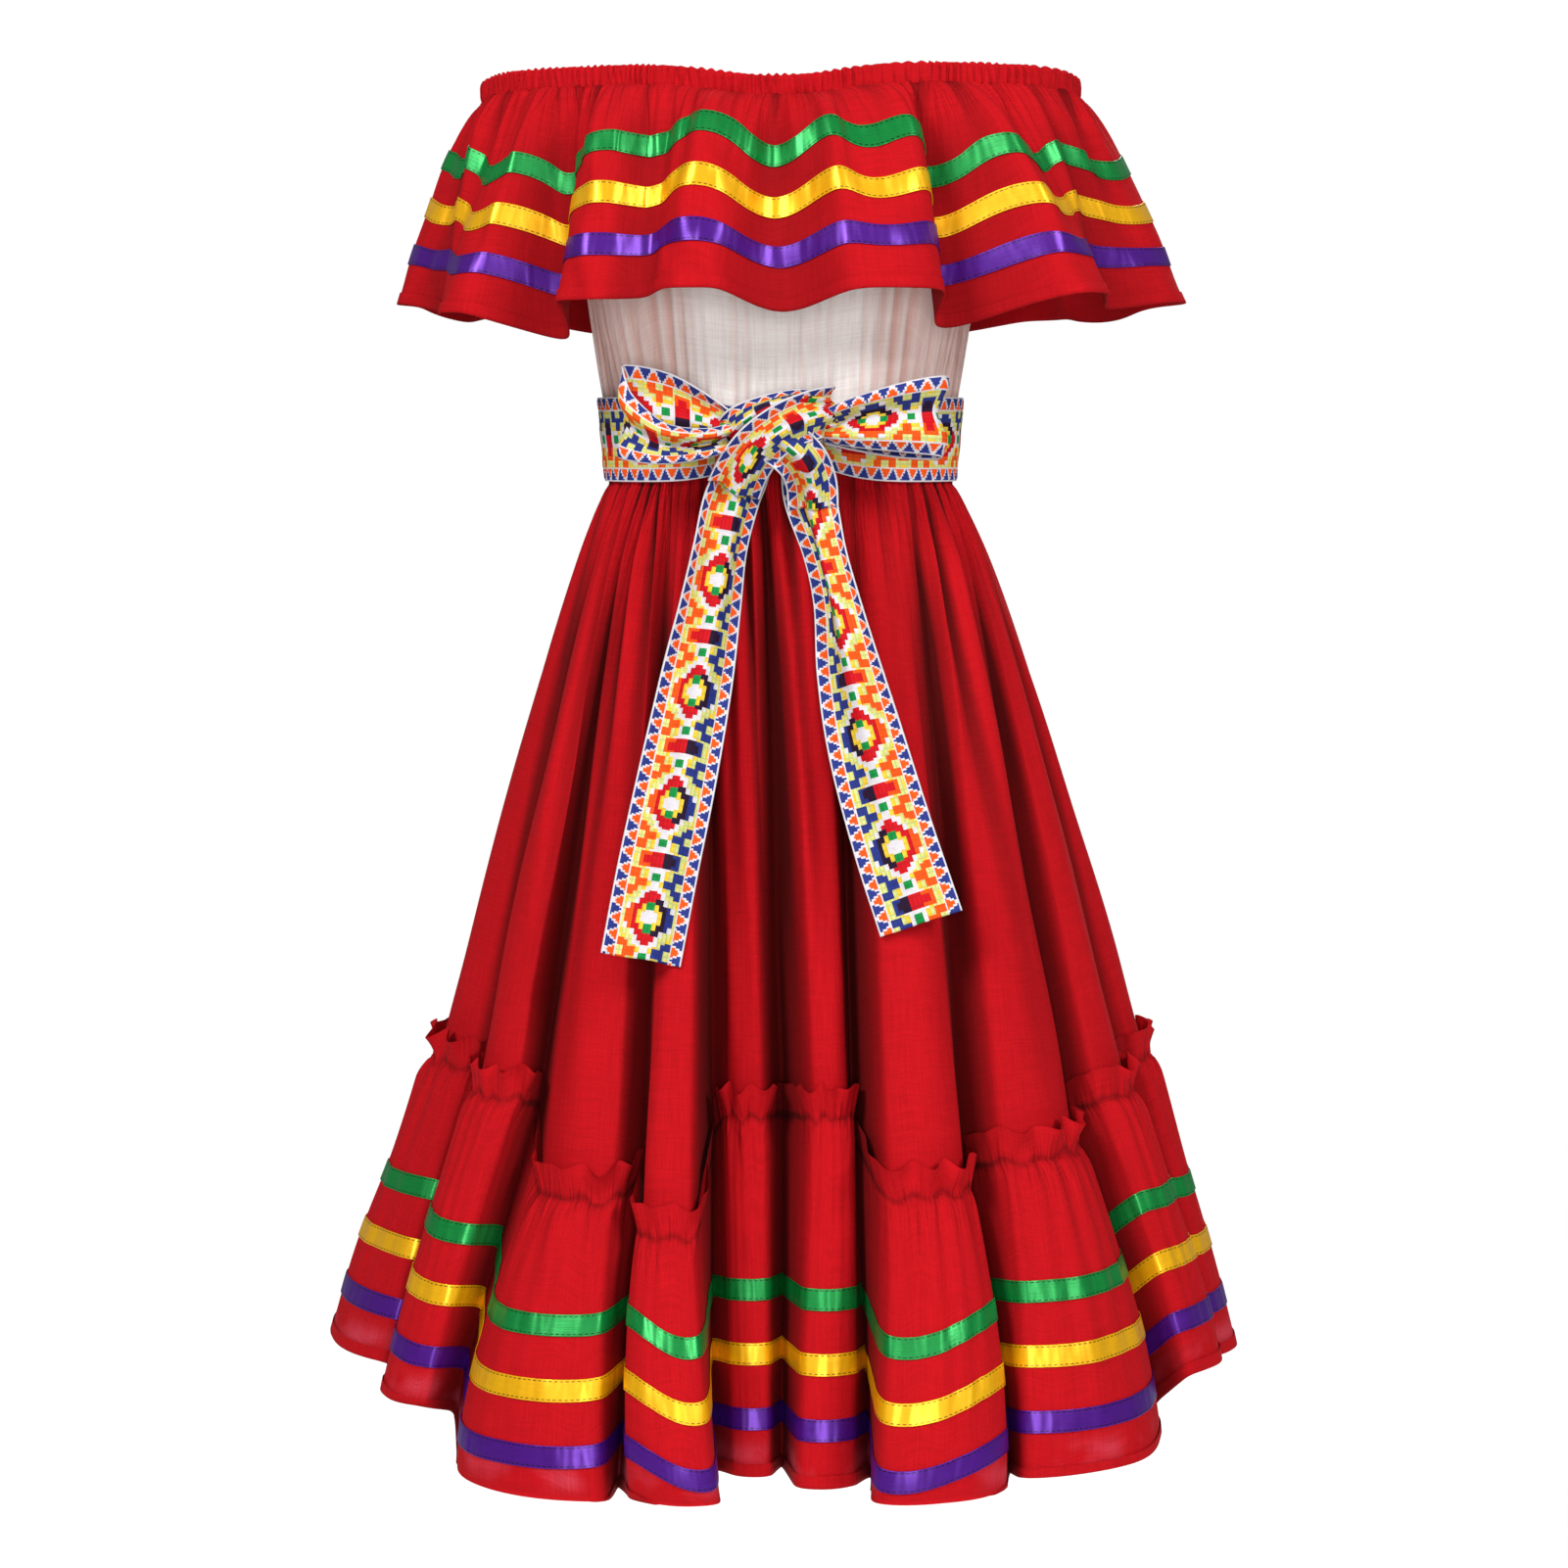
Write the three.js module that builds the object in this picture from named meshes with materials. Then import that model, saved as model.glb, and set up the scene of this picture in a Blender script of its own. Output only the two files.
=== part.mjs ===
// A girl's off-the-shoulder folk dance dress, filled out as it is worn: an elastic neckline with a
// ribbon-trimmed flounce, a white gathered bodice, a gathered skirt, a ribbon-trimmed lower tier
// with a frilled heading, and a woven sash tied in a bow at the front.
// Millimetres, +Z up, the front faces -Y. The origin is the centre of the elastic neckline.
// Angles are in degrees, 0 at the front and growing towards +X.

import * as THREE from "three";

// Cloth and seams
const clothWall = 1.2;
const seamGap = 0.3;
const casingWall = 2.6;
const ribbonWall = 1.0;
const ribbonWidth = 12;
const sashWall = 1.2;

// Neckline: a rounded box in plan, round the chest and both upper arms
const neckHalfWidth = 171;
const neckHalfDepth = 84;
const neckSquareness = 2.5;
const casingHeight = 12;
const neckLow = -1.5;
const neckRise = 6.5;
const neckEndDrop = 3.5;
const neckTilt = 1.2;
const neckGather = 1.1;

// Waist: an ellipse in plan
const waistHalfWidth = 99;
const waistHalfDepth = 75;
const waistSeamZ = -203;
const sashTopZ = -178;
const sashBottomZ = -226;
const waistGather = 1.3;

// Bodice
const bodiceColumns = 48;
const bodiceFolds = 12;
const bodiceFoldDepth = 1.6;
const bodiceSpread = 1.25;
const bodiceShares = [0, 0.35, 0.7, 1];
const chestHalfWidth = 118;
const chestHalfDepth = 80;
const underarmZ = -74;
const armholeFrom = 46;
const armholeTo = 84;

// Folds: each has 7 columns, of which 2 climb from the valley and 2 run down to the next
const columnsPerFold = 7;
const flankShare = 2 / columnsPerFold;
const ridgeSag = 0.13;
const flankEase = 1.3;
const valleyRound = 1.7;
const wallMitre = 2.5;
const layerMitre = 5;

const withNames = (names, rows) =>
  rows.map((row) => Object.fromEntries(names.map((name, i) => [name, row[i]])));

// A row for each fold of the shoulder flounce's hem: the ridge's two edges and its radius and height,
// then the valley after it, and where that valley starts at the neckline.
const foldNames = ["from", "to", "reach", "z", "valleyAt", "valleyReach", "valleyZ", "startAt"];
const flounceFolds = withNames(foldNames, [
  [-46, -34, 174, -127, -30, 145, -126, -41],
  [-25, -12, 156, -121, 0.5, 118, -137, 1],
  [14, 36, 161, -121, 43, 116, -147, 46],
  [53, 67, 203, -122, 73, 187, -131, 68],
  [80, 100, 232, -124, 108, 202, -134, 106],
  [114, 128, 192, -130, 136, 142, -140, 130],
  [143, 159, 165, -132, 166, 128, -138, 157],
  [173, 188, 158, -130, 195, 126, -138, 190],
  [202, 218, 168, -133, 226, 140, -141, 222],
  [233, 248, 196, -130, 254, 196, -134, 250],
  [260, 274, 222, -124, 279, 196, -130, 281],
  [286, 299, 203, -132, 303, 132, -152, 300],
]);

// A row for each fold of the skirt where the tier is sewn on. startAt is at the waist.
const seamFolds = withNames(foldNames, [
  [-90, -67.5, 199, -560, -65, 176, -562, -74],
  [-61, -49, 199, -567, -53, 170, -575, -59],
  [-46, -29.8, 190, -617, -28.5, 152, -604, -45.5],
  [-23.6, -14.5, 192, -632, -21, 108, -594, -31],
  [-14, -4.5, 123, -578, 1, 86, -582, -8],
  [7.5, 15.8, 142, -575, 20.5, 114, -585, 24],
  [18, 33, 192, -611, 38, 160, -606, 55],
  [39, 58, 201, -597, 62, 178, -588, 74],
  [61.5, 75, 209, -573, 77.5, 192, -570, 87],
  [80.5, 92.5, 213, -562, 95.5, 196, -562, 102],
  [98, 116, 207, -570, 119, 182, -572, 122],
  [122, 142, 200, -588, 146, 162, -588, 144],
  [150, 170, 193, -603, 174, 144, -598, 168],
  [178, 197, 191, -606, 201, 144, -598, 190],
  [205, 225, 196, -594, 229, 164, -586, 214],
  [233, 255, 201, -574, 262, 180, -564, 246],
]);

// A row for each fold at the lower hem, with how far the tier puffs out above it, and how much cloth is
// turned under at each side of the ridge, so that the ribbons hang lower there
const hemNames = [...foldNames.slice(0, 7), "puff", "underLeft", "underRight"];
const hemFolds = withNames(hemNames, [
  [-92, -64, 262, -720, -63, 234, -726, 3, 0, 0],
  [-61.5, -50.5, 259, -731, -54, 224, -742, 5, 0, 4],
  [-47.5, -22.4, 252, -765, -25.6, 205, -768, 15, 10, 8],
  [-19.2, -7.2, 248, -761, -14, 165, -766, 20, 2, 20],
  [-8, -1.6, 187, -763, 0.4, 148, -768, 4, 0, 0],
  [2.4, 11.5, 206, -764, 17, 174, -768, 5, 0, 0],
  [11.3, 30, 252, -761, 36, 213, -764, 16, 22, 5],
  [31.6, 59, 260, -756, 64.5, 234, -748, 10, 2, 2],
  [62, 74.5, 265, -724, 77.5, 257, -728, 5, 0, 0],
  [78.5, 92, 267, -732, 95, 242, -738, 3, 0, 0],
  [98, 118, 265, -740, 121, 236, -744, 5, 0, 0],
  [124, 145, 260, -748, 149, 214, -753, 8, 4, 0],
  [153, 172, 254, -754, 176, 196, -761, 12, 0, 10],
  [180, 199, 252, -755, 203, 198, -761, 14, 12, 2],
  [207, 227, 256, -749, 231, 218, -754, 10, 0, 6],
  [235, 257, 261, -737, 262, 238, -735, 5, 3, 0],
]);

// How far each ribbon's middle lies above the hem, along the cloth
const flounceRibbons = [
  { colour: "green", rise: 87 },
  { colour: "yellow", rise: 58 },
  { colour: "purple", rise: 30 },
];
const tierRibbons = [
  { colour: "green", rise: 101 },
  { colour: "yellow", rise: 66 },
  { colour: "purple", rise: 31 },
];
const sleeveSpread = 0.8;
const chestSpread = 0.5;
const chestTo = 0.6;
const sleeveFrom = 0.95;
const flounceGatherFade = 3;

// Skirt and lower tier. The heading opens on the ridges and lies close in the valleys.
const skirtRows = [0, 0.1, 0.4, 0.95, 1];
const skirtSpread = 0.8;
const skirtStartZ = sashBottomZ - 2;
const waistGatherFade = 6;
const puffFrom = 0.3;
const puffTo = 0.8;
const valleyPuff = 2;
const headingHeight = 18;
const headingFlare = 5.5;
const headingWave = 2.6;
const shirrWave = 1.1;
const headingOpen = [0, 0.3, 0.9, 1, 1, 0.9, 0.3];

// The sash's two ends, from behind the knot down: middle, least depth, width seen, and turn of the
// strip about its length
const tailNames = ["x", "depth", "z", "width", "turn"];
const leftTail = withNames(tailNames, [
  [-9.8, 86.2, -202, 17, 0],
  [-20, 89, -221, 28, -6],
  [-27, 97, -236, 32, -14],
  [-33, 100, -262, 34, -24],
  [-39, 0, -296, 36, -14],
  [-47, 0, -338, 40, 0],
  [-57, 0, -388, 43, 4],
  [-67, 0, -436, 44, 0],
  [-76, 0, -484, 44, -4],
]);
const rightTail = withNames(tailNames, [
  [9.8, 86.2, -202, 17, 0],
  [13.5, 90, -224, 25, 8],
  [17, 97, -238, 28, 20],
  [24, 101, -264, 26, 38],
  [31, 0, -292, 28, 36],
  [38, 0, -330, 36, 18],
  [48, 0, -372, 43, 6],
  [62, 0, -420, 46, 0],
  [77, 0, -465, 47, 0],
]);
const tailsLieBelow = -286;
const tailClearance = 1.2;
const tailReach = 8;
const tailColumns = 4;

// The bow's two loops: a row for each section along the strip, from the knot out and back again
const loopNames = ["x", "depth", "z", "width"];
const leftLoop = withNames(loopNames, [
  [-26.5, 98.4, -196, 14],
  [-41, 93.5, -191.5, 29],
  [-62, 94, -187, 43],
  [-82, 97, -185, 48],
  [-87, 103, -187, 47],
  [-83, 110, -195, 36],
  [-64, 116, -204, 22],
  [-41, 110, -204, 15],
  [-26.5, 99.9, -199, 10],
]);
const rightLoop = withNames(loopNames, [
  [26.5, 98.4, -196, 16],
  [42, 92.5, -193.5, 29],
  [66, 92, -192, 40],
  [84, 95, -191, 44],
  [90, 101, -190, 44],
  [85, 109, -189, 43],
  [66, 112, -190, 37],
  [42, 109, -192.5, 27],
  [26.5, 99.9, -195, 16],
]);
const loopColumns = 2;

// Knot: sections along X, each a rounded ring
const knotCentre = { x: 0, depth: 99, z: -198 };
const knotHalfLength = 26;
const knotHalfHeight = 20;
const knotHalfDepth = 13;
const knotRings = 7;
const knotSides = 12;
const knotRidge = 0.09;

const radians = THREE.MathUtils.degToRad;
const mix = THREE.MathUtils.lerp;
const { smoothstep } = THREE.MathUtils;

const polar = (angle, reach, z) =>
  new THREE.Vector3(reach * Math.sin(radians(angle)), -reach * Math.cos(radians(angle)), z);

// The radius of a rounded box with these half sizes, at an angle from the front
function roundedReach(angle, halfWidth, halfDepth, squareness) {
  const across = Math.abs(Math.sin(radians(angle)) / halfWidth) ** squareness;
  const deep = Math.abs(Math.cos(radians(angle)) / halfDepth) ** squareness;
  return (across + deep) ** (-1 / squareness);
}

// The neckline's height: it dips at the front and back, rises to both shoulders and turns down over
// each arm, a little higher on the +X side
function neckHeight(angle) {
  const aside = Math.sin(radians(angle));
  const rise = neckRise * smoothstep(Math.abs(aside), 0.1, 0.75);
  return neckLow + rise - neckEndDrop * aside ** 40 + neckTilt * aside;
}

const neckPoint = (angle, drop, outwards) =>
  polar(
    angle,
    roundedReach(angle, neckHalfWidth, neckHalfDepth, neckSquareness) + outwards,
    neckHeight(angle) - drop,
  );

// The angle nearest to a reference one, a whole number of turns away from the one given
const unwrap = (angle, near) => angle + 360 * Math.round((near - angle) / 360);

const foldAt = (folds, column) => {
  const fold = Math.floor(column / columnsPerFold) % folds.length;
  return {
    ridge: folds[fold],
    before: folds[(fold + folds.length - 1) % folds.length],
    share: (column % columnsPerFold) / columnsPerFold,
  };
};

// A point of a folded ring: along the ridge it is a shallow arch, and on a flank it eases from the
// ridge's edge to the valley
function foldPoint(folds, column) {
  const { ridge, before, share } = foldAt(folds, column);
  const sag = ridgeSag * ridge.reach * radians(ridge.to - ridge.from);
  const crown = (across) => ridge.reach + sag / 3 - sag * (2 * across - 1) ** 2;
  if (share >= flankShare && share <= 1 - flankShare) {
    const across = (share - flankShare) / (1 - 2 * flankShare);
    return polar(mix(ridge.from, ridge.to, across), crown(across), ridge.z);
  }
  const isLeft = share < flankShare;
  const valley = isLeft ? before : ridge;
  const edge = isLeft ? ridge.from : ridge.to;
  const down = isLeft ? 1 - share / flankShare : (share - 1 + flankShare) / flankShare;
  const fall = down ** flankEase;
  return polar(
    mix(edge, unwrap(valley.valleyAt, edge), down ** valleyRound),
    mix(crown(0), valley.valleyReach, fall),
    mix(ridge.z, valley.valleyZ, fall),
  );
}

// Where a column starts at the neckline or waist, as an angle
function startAngle(folds, column) {
  const { ridge, before, share } = foldAt(folds, column);
  return mix(unwrap(before.startAt, ridge.startAt - 20), ridge.startAt, share);
}

const zigzag = (column) => (column % 2 ? -1 : 1);

// Outward directions at a grid of points, rows running down and columns round. Each is longer than 1
// across a fold, up to a limit, so that a layer moved out by it stays even.
function gridNormals(grid, isRing, mitre = wallMitre) {
  const rows = grid.length;
  const columns = grid[0].length;
  return grid.map((row, r) =>
    row.map((point, c) => {
      const down = grid[Math.min(r + 1, rows - 1)][c].clone().sub(grid[Math.max(r - 1, 0)][c]);
      const facing = (from, to) => down.clone().cross(to.clone().sub(from)).normalize();
      const left = (isRing || c > 0) && facing(row[(c + columns - 1) % columns], point);
      const right = (isRing || c < columns - 1) && facing(point, row[(c + 1) % columns]);
      const both = (left || right).clone().add(right || left);
      const bend = both.length() / 2;
      return both.setLength(Math.min(1 / bend, mitre));
    }),
  );
}

const moved = (grid, normals, distance) =>
  grid.map((row, r) => row.map((p, c) => p.clone().addScaledVector(normals[r][c], distance)));

// The columns from one to another of a ring, with both end columns drawn in by half a seam gap
function panelColumns(grid, first, last) {
  return grid.map((row) => {
    const picked = [];
    for (let c = first; c <= last; c += 1) picked.push(row[c % row.length].clone());
    const drawIn = (end, next) => {
      const length = picked[end].distanceTo(picked[next]);
      picked[end].lerp(picked[next], seamGap / 2 / length);
    };
    drawIn(0, 1);
    drawIn(picked.length - 1, picked.length - 2);
    return picked;
  });
}

// A closed wall between an outer and an inner grid
function wallGeometry(outer, inner, isRing) {
  const rows = outer.length;
  const columns = outer[0].length;
  const positions = [...outer.flat(), ...inner.flat()].flatMap((p) => [p.x, p.y, p.z]);
  const out = (r, c) => r * columns + (c % columns);
  const inn = (r, c) => rows * columns + out(r, c);
  const faces = [];
  const quad = (a, b, c, d) => faces.push(a, b, c, a, c, d);
  const spans = isRing ? columns : columns - 1;
  for (let c = 0; c < spans; c += 1) {
    for (let r = 0; r < rows - 1; r += 1) {
      quad(out(r, c), out(r + 1, c), out(r + 1, c + 1), out(r, c + 1));
      faces.push(inn(r, c), inn(r + 1, c + 1), inn(r + 1, c));
      faces.push(inn(r, c), inn(r, c + 1), inn(r + 1, c + 1));
    }
    quad(out(0, c), out(0, c + 1), inn(0, c + 1), inn(0, c));
    quad(out(rows - 1, c), inn(rows - 1, c), inn(rows - 1, c + 1), out(rows - 1, c + 1));
  }
  for (let r = 0; r < rows - 1 && !isRing; r += 1) {
    quad(out(r + 1, 0), out(r, 0), inn(r, 0), inn(r + 1, 0));
    quad(out(r, spans), out(r + 1, spans), inn(r + 1, spans), inn(r, spans));
  }
  const geometry = new THREE.BufferGeometry();
  geometry.setAttribute("position", new THREE.Float32BufferAttribute(positions, 3));
  geometry.setIndex(faces);
  geometry.computeVertexNormals();
  return geometry;
}

const materials = {
  red_cotton: new THREE.MeshStandardMaterial({ color: 0xc40a14, roughness: 0.85 }),
  white_cotton: new THREE.MeshStandardMaterial({ color: 0xf1e6e1, roughness: 0.85 }),
  green_satin: new THREE.MeshStandardMaterial({ color: 0x0e8a3c, roughness: 0.35 }),
  yellow_satin: new THREE.MeshStandardMaterial({ color: 0xf2c21c, roughness: 0.35 }),
  purple_satin: new THREE.MeshStandardMaterial({ color: 0x4b1480, roughness: 0.35 }),
  woven_sash: new THREE.MeshStandardMaterial({ color: 0xe8d9b8, roughness: 0.8 }),
};

const dress = new THREE.Group();

function addPiece(name, slot, outer, inner, isRing = false) {
  const mesh = new THREE.Mesh(wallGeometry(outer, inner, isRing), materials[slot]);
  mesh.name = name;
  dress.add(mesh);
}

// A folded ring's pieces: its panels, and on each panel its ribbons
function addPanels(panels, surface, normals, wall) {
  for (const { name, slot, first, last } of panels) {
    addPiece(
      name,
      slot,
      panelColumns(surface, first, last),
      panelColumns(moved(surface, normals, -wall), first, last),
    );
  }
}

function addRibbons(panels, ribbons, surface, normals, firstRibbonRow) {
  const under = moved(surface, normals, seamGap);
  const over = moved(surface, normals, seamGap + ribbonWall);
  ribbons.forEach(({ colour }, i) => {
    const row = firstRibbonRow + 2 * i;
    for (const { name, first, last } of panels) {
      addPiece(
        `${name}_ribbon_${colour}`,
        `${colour}_satin`,
        panelColumns(over.slice(row, row + 2), first, last),
        panelColumns(under.slice(row, row + 2), first, last),
      );
    }
  });
}

// Rows of a column by how far each lies above the hem: the top seam, both edges of each ribbon, the hem
const ribbonEdges = (ribbons) =>
  ribbons.flatMap(({ rise }) => [rise + ribbonWidth / 2, rise - ribbonWidth / 2]);

// Neckline casing: a gathered elastic tunnel all round
const flounceColumns = flounceFolds.length * columnsPerFold;
const columnNumbers = (count) => Array.from({ length: count }, (_, i) => i);

const casingOuter = [0, casingHeight].map((drop) =>
  columnNumbers(flounceColumns).map((column) =>
    neckPoint(startAngle(flounceFolds, column), drop, neckGather * zigzag(column)),
  ),
);
const casingInner = [0, casingHeight].map((drop) =>
  columnNumbers(flounceColumns).map((column) =>
    neckPoint(startAngle(flounceFolds, column), drop, neckGather * zigzag(column) - casingWall),
  ),
);
addPiece("neck_casing", "red_cotton", casingOuter, casingInner, true);

// Shoulder flounce: it hangs from the casing to its folded hem. Over the arms it spreads nearly in a
// straight line. At the chest and back it comes out sooner and hangs straighter, so there its length
// is close to its drop.
const flounceCurves = columnNumbers(flounceColumns).map((column) => {
  const angle = startAngle(flounceFolds, column);
  const top = neckPoint(angle, casingHeight + seamGap, 0);
  const hem = foldPoint(flounceFolds, column);
  const aside = Math.abs(Math.sin(THREE.MathUtils.degToRad(angle)));
  const chest = 1 - THREE.MathUtils.smoothstep(aside, chestTo, sleeveFrom);
  const length = mix(top.distanceTo(hem), top.z - hem.z, chest);
  return { top, hem, length, power: mix(sleeveSpread, chestSpread, chest) };
});
const flounceRises = [Infinity, ...ribbonEdges(flounceRibbons), 0];
const flounceSurface = flounceRises.map((rise) =>
  flounceCurves.map(({ top, hem, length, power }, column) => {
    const share = Math.max(1 - rise / length, 0);
    const spread = share ** power;
    const gather = neckGather * zigzag(column) * (1 - share) ** flounceGatherFade;
    return new THREE.Vector3(
      mix(top.x, hem.x, spread),
      mix(top.y, hem.y, spread),
      mix(top.z, hem.z, share),
    ).add(polar(startAngle(flounceFolds, column), gather, 0));
  }),
);
const flounceNormals = gridNormals(flounceSurface, true);
const flouncePanels = [
  { name: "flounce_front", first: 0, last: 3 },
  { name: "sleeve_right", first: 3, last: 6 },
  { name: "flounce_back", first: 6, last: 9 },
  { name: "sleeve_left", first: 9, last: 12 },
].map(({ name, first, last }) => ({
  name,
  slot: "red_cotton",
  first: first * columnsPerFold,
  last: last * columnsPerFold,
}));
addPanels(flouncePanels, flounceSurface, flounceNormals, clothWall);
addRibbons(flouncePanels, flounceRibbons, flounceSurface, flounceNormals, 1);

// Bodice: sewn inside the casing at front and back, cut away under each arm, gathered at the waist
function bodicePoint(angle, share) {
  const aside = Math.min(Math.abs(unwrap(angle, 0)), 180 - Math.abs(unwrap(angle, 0)));
  const cutAway = smoothstep(aside, armholeFrom, armholeTo);
  const topZ = mix(neckHeight(angle) - casingHeight - seamGap, underarmZ, cutAway);
  const neckReach =
    roundedReach(angle, neckHalfWidth, neckHalfDepth, neckSquareness) - casingWall - seamGap;
  const chestReach = roundedReach(angle, chestHalfWidth, chestHalfDepth, 2);
  const waistReach = roundedReach(angle, waistHalfWidth, waistHalfDepth, 2);
  const topReach = Math.min(mix(neckReach, chestReach, cutAway), neckReach);
  const foldShare = Math.min(share * 2 + 0.1, 1.2 - 0.6 * share);
  const fold = bodiceFoldDepth * foldShare * (Math.cos(radians(angle * bodiceFolds)) - 1);
  const reach = mix(topReach, waistReach, share ** bodiceSpread);
  return polar(angle, reach + fold, mix(topZ, waistSeamZ + seamGap, share));
}

const bodiceSurface = bodiceShares.map((share) =>
  columnNumbers(bodiceColumns).map((column) =>
    bodicePoint(-90 + (360 * column) / bodiceColumns, share),
  ),
);
addPanels(
  [
    { name: "bodice_front", slot: "white_cotton", first: 0, last: bodiceColumns / 2 },
    { name: "bodice_back", slot: "white_cotton", first: bodiceColumns / 2, last: bodiceColumns },
  ],
  bodiceSurface,
  gridNormals(bodiceSurface, true),
  clothWall,
);

// Skirt: gathered on the waist ellipse, straight under the sash, then spread to the folded seam
const skirtColumns = seamFolds.length * columnsPerFold;

function skirtPoint(column, share) {
  const angle = startAngle(seamFolds, column);
  const gather = waistGather * zigzag(column) * (1 - share) ** waistGatherFade;
  const waistReach = roundedReach(angle, waistHalfWidth, waistHalfDepth, 2);
  const start = polar(angle, waistReach, skirtStartZ);
  const end = foldPoint(seamFolds, column);
  const spread = share ** skirtSpread;
  return new THREE.Vector3(
    mix(start.x, end.x, spread),
    mix(start.y, end.y, spread),
    mix(start.z, end.z, share),
  ).add(polar(angle, gather, 0));
}

const skirtSurface = [
  columnNumbers(skirtColumns).map((column) => skirtPoint(column, 0).setZ(waistSeamZ)),
  ...skirtRows.map((share) => columnNumbers(skirtColumns).map((column) => skirtPoint(column, share))),
];
const skirtNormals = gridNormals(skirtSurface, true);
const sideColumns = { left: 0, right: 10 * columnsPerFold };
const frontAndBack = (name) => [
  { name: `${name}_front`, slot: "red_cotton", first: sideColumns.left, last: sideColumns.right },
  { name: `${name}_back`, slot: "red_cotton", first: sideColumns.right, last: skirtColumns },
];
addPanels(frontAndBack("skirt"), skirtSurface, skirtNormals, clothWall);

// Lower tier: shirred onto the skirt's edge, with a frilled heading that stands up above the shirring
const seamRow = skirtSurface.length - 1;
const headingRow = seamRow - 1;
const openAt = (column) => headingOpen[column % columnsPerFold];
const tierClear = seamGap + clothWall + shirrWave;
const layerNormals = gridNormals(skirtSurface, true, layerMitre);
const headingTop = skirtSurface[headingRow].map((p, c) => {
  const flare = openAt(c) * (headingFlare + headingWave * zigzag(c));
  const top = p.clone().addScaledVector(layerNormals[headingRow][c], tierClear + flare);
  return top.setZ(skirtSurface[seamRow][c].z + headingHeight);
});
const shirrLine = skirtSurface[seamRow].map((p, c) => {
  const wave = openAt(c) * shirrWave * zigzag(c);
  return p.clone().addScaledVector(layerNormals[seamRow][c], tierClear + wave);
});

// A tier column hangs from the shirring to the hem and puffs out between them
function tierCurve(top, column) {
  const hem = foldPoint(hemFolds, column);
  const outwards = new THREE.Vector3(hem.x, hem.y, 0).normalize();
  const puff = mix(valleyPuff, foldAt(hemFolds, column).ridge.puff, openAt(column));
  const upper = top.clone().lerp(hem, puffFrom).addScaledVector(outwards, puff);
  const lower = top.clone().lerp(hem, puffTo).addScaledVector(outwards, puff);
  return new THREE.CubicBezierCurve3(top, upper, lower, hem);
}

const tierCurves = shirrLine.map(tierCurve);
const turnedUnder = columnNumbers(skirtColumns).map((column) => {
  const { ridge, share } = foldAt(hemFolds, column);
  const across = smoothstep(share, flankShare, 1 - flankShare);
  return mix(ridge.underLeft, ridge.underRight, across) * openAt(column);
});
const tierPoint = (curve, rise) => curve.getPointAt(1 - rise / curve.getLength());
const tierSurface = [
  headingTop,
  shirrLine,
  ...ribbonEdges(tierRibbons).map((rise) =>
    tierCurves.map((curve, column) => tierPoint(curve, rise - turnedUnder[column])),
  ),
  tierCurves.map((curve) => curve.v3),
];
const tierNormals = gridNormals(tierSurface, true);
addPanels(frontAndBack("tier"), tierSurface, tierNormals, clothWall);
addRibbons(frontAndBack("tier"), tierRibbons, tierSurface, tierNormals, 2);

// Sash round the waist: full width at the sides and back, drawn in to the knot at the front
const bandColumns = 48;
const bandClear = 3.2;
const bandFlare = 4;
const knotPullDown = -9.8;
const knotPullUp = 14;
const knotPullSpread = 24;
const bandOuter = [
  { z: sashTopZ, pull: knotPullDown, spread: bandFlare },
  { z: sashBottomZ, pull: knotPullUp, spread: 0 },
].map(({ z, pull, spread }) =>
  columnNumbers(bandColumns).map((column) => {
    const angle = (360 * column) / bandColumns;
    const near = Math.exp(-((unwrap(angle, 0) / knotPullSpread) ** 2));
    const reach = roundedReach(angle, waistHalfWidth, waistHalfDepth, 2) + bandClear + spread;
    return polar(angle, reach, z + pull * near);
  }),
);
const bandInner = moved(bandOuter, gridNormals(bandOuter, true), -sashWall);
addPiece("sash_band", "woven_sash", bandOuter, bandInner, true);

// A strip along a path: each section has a middle, a direction across it and a width
function stripGrid(sections, columns) {
  return sections.map(({ middle, across, width }) =>
    columnNumbers(columns + 1).map((c) =>
      middle.clone().addScaledVector(across, width * (c / columns - 0.5)),
    ),
  );
}

function addStrip(name, sections, columns) {
  const surface = stripGrid(sections, columns);
  addPiece(name, "woven_sash", surface, moved(surface, gridNormals(surface, false), -sashWall));
}

// How far forward the skirt reaches at a height, within a strip's width
function skirtFront(x, z, halfWidth) {
  const pointAt = (column) => {
    const seamZ = skirtPoint(column, 1).z;
    const share = (skirtStartZ - z) / (skirtStartZ - seamZ);
    return skirtPoint(column, THREE.MathUtils.clamp(share, 0, 1));
  };
  const ring = columnNumbers(skirtColumns).map(pointAt);
  const reached = ring.flatMap((point, c) =>
    [0, 0.25, 0.5, 0.75].map((share) => point.clone().lerp(ring[(c + 1) % ring.length], share)),
  );
  return Math.max(...reached.map((p) => (Math.abs(p.x - x) < halfWidth ? -p.y : 0)));
}

// The sash's hanging ends lie on the skirt's ridges
function tailSections(rows) {
  return rows.map(({ x, depth, z, width, turn }, i) => {
    const before = rows[Math.max(i - 1, 0)];
    const after = rows[Math.min(i + 1, rows.length - 1)];
    const along = new THREE.Vector3(after.x - before.x, 0, after.z - before.z).normalize();
    const flat = new THREE.Vector3(-along.z, 0, along.x);
    const across = flat.clone().applyAxisAngle(along, radians(turn));
    const swing = (Math.abs(Math.sin(radians(turn))) * width) / 2;
    const onSkirt = skirtFront(x, z, width / 2 + tailReach) + tailClearance + swing + sashWall;
    const front = z < tailsLieBelow ? Math.max(onSkirt, depth) : depth;
    return { middle: new THREE.Vector3(x, -front, z), across, width };
  });
}
addStrip("sash_tail_left", tailSections(leftTail), tailColumns);
addStrip("sash_tail_right", tailSections(rightTail), tailColumns);

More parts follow.
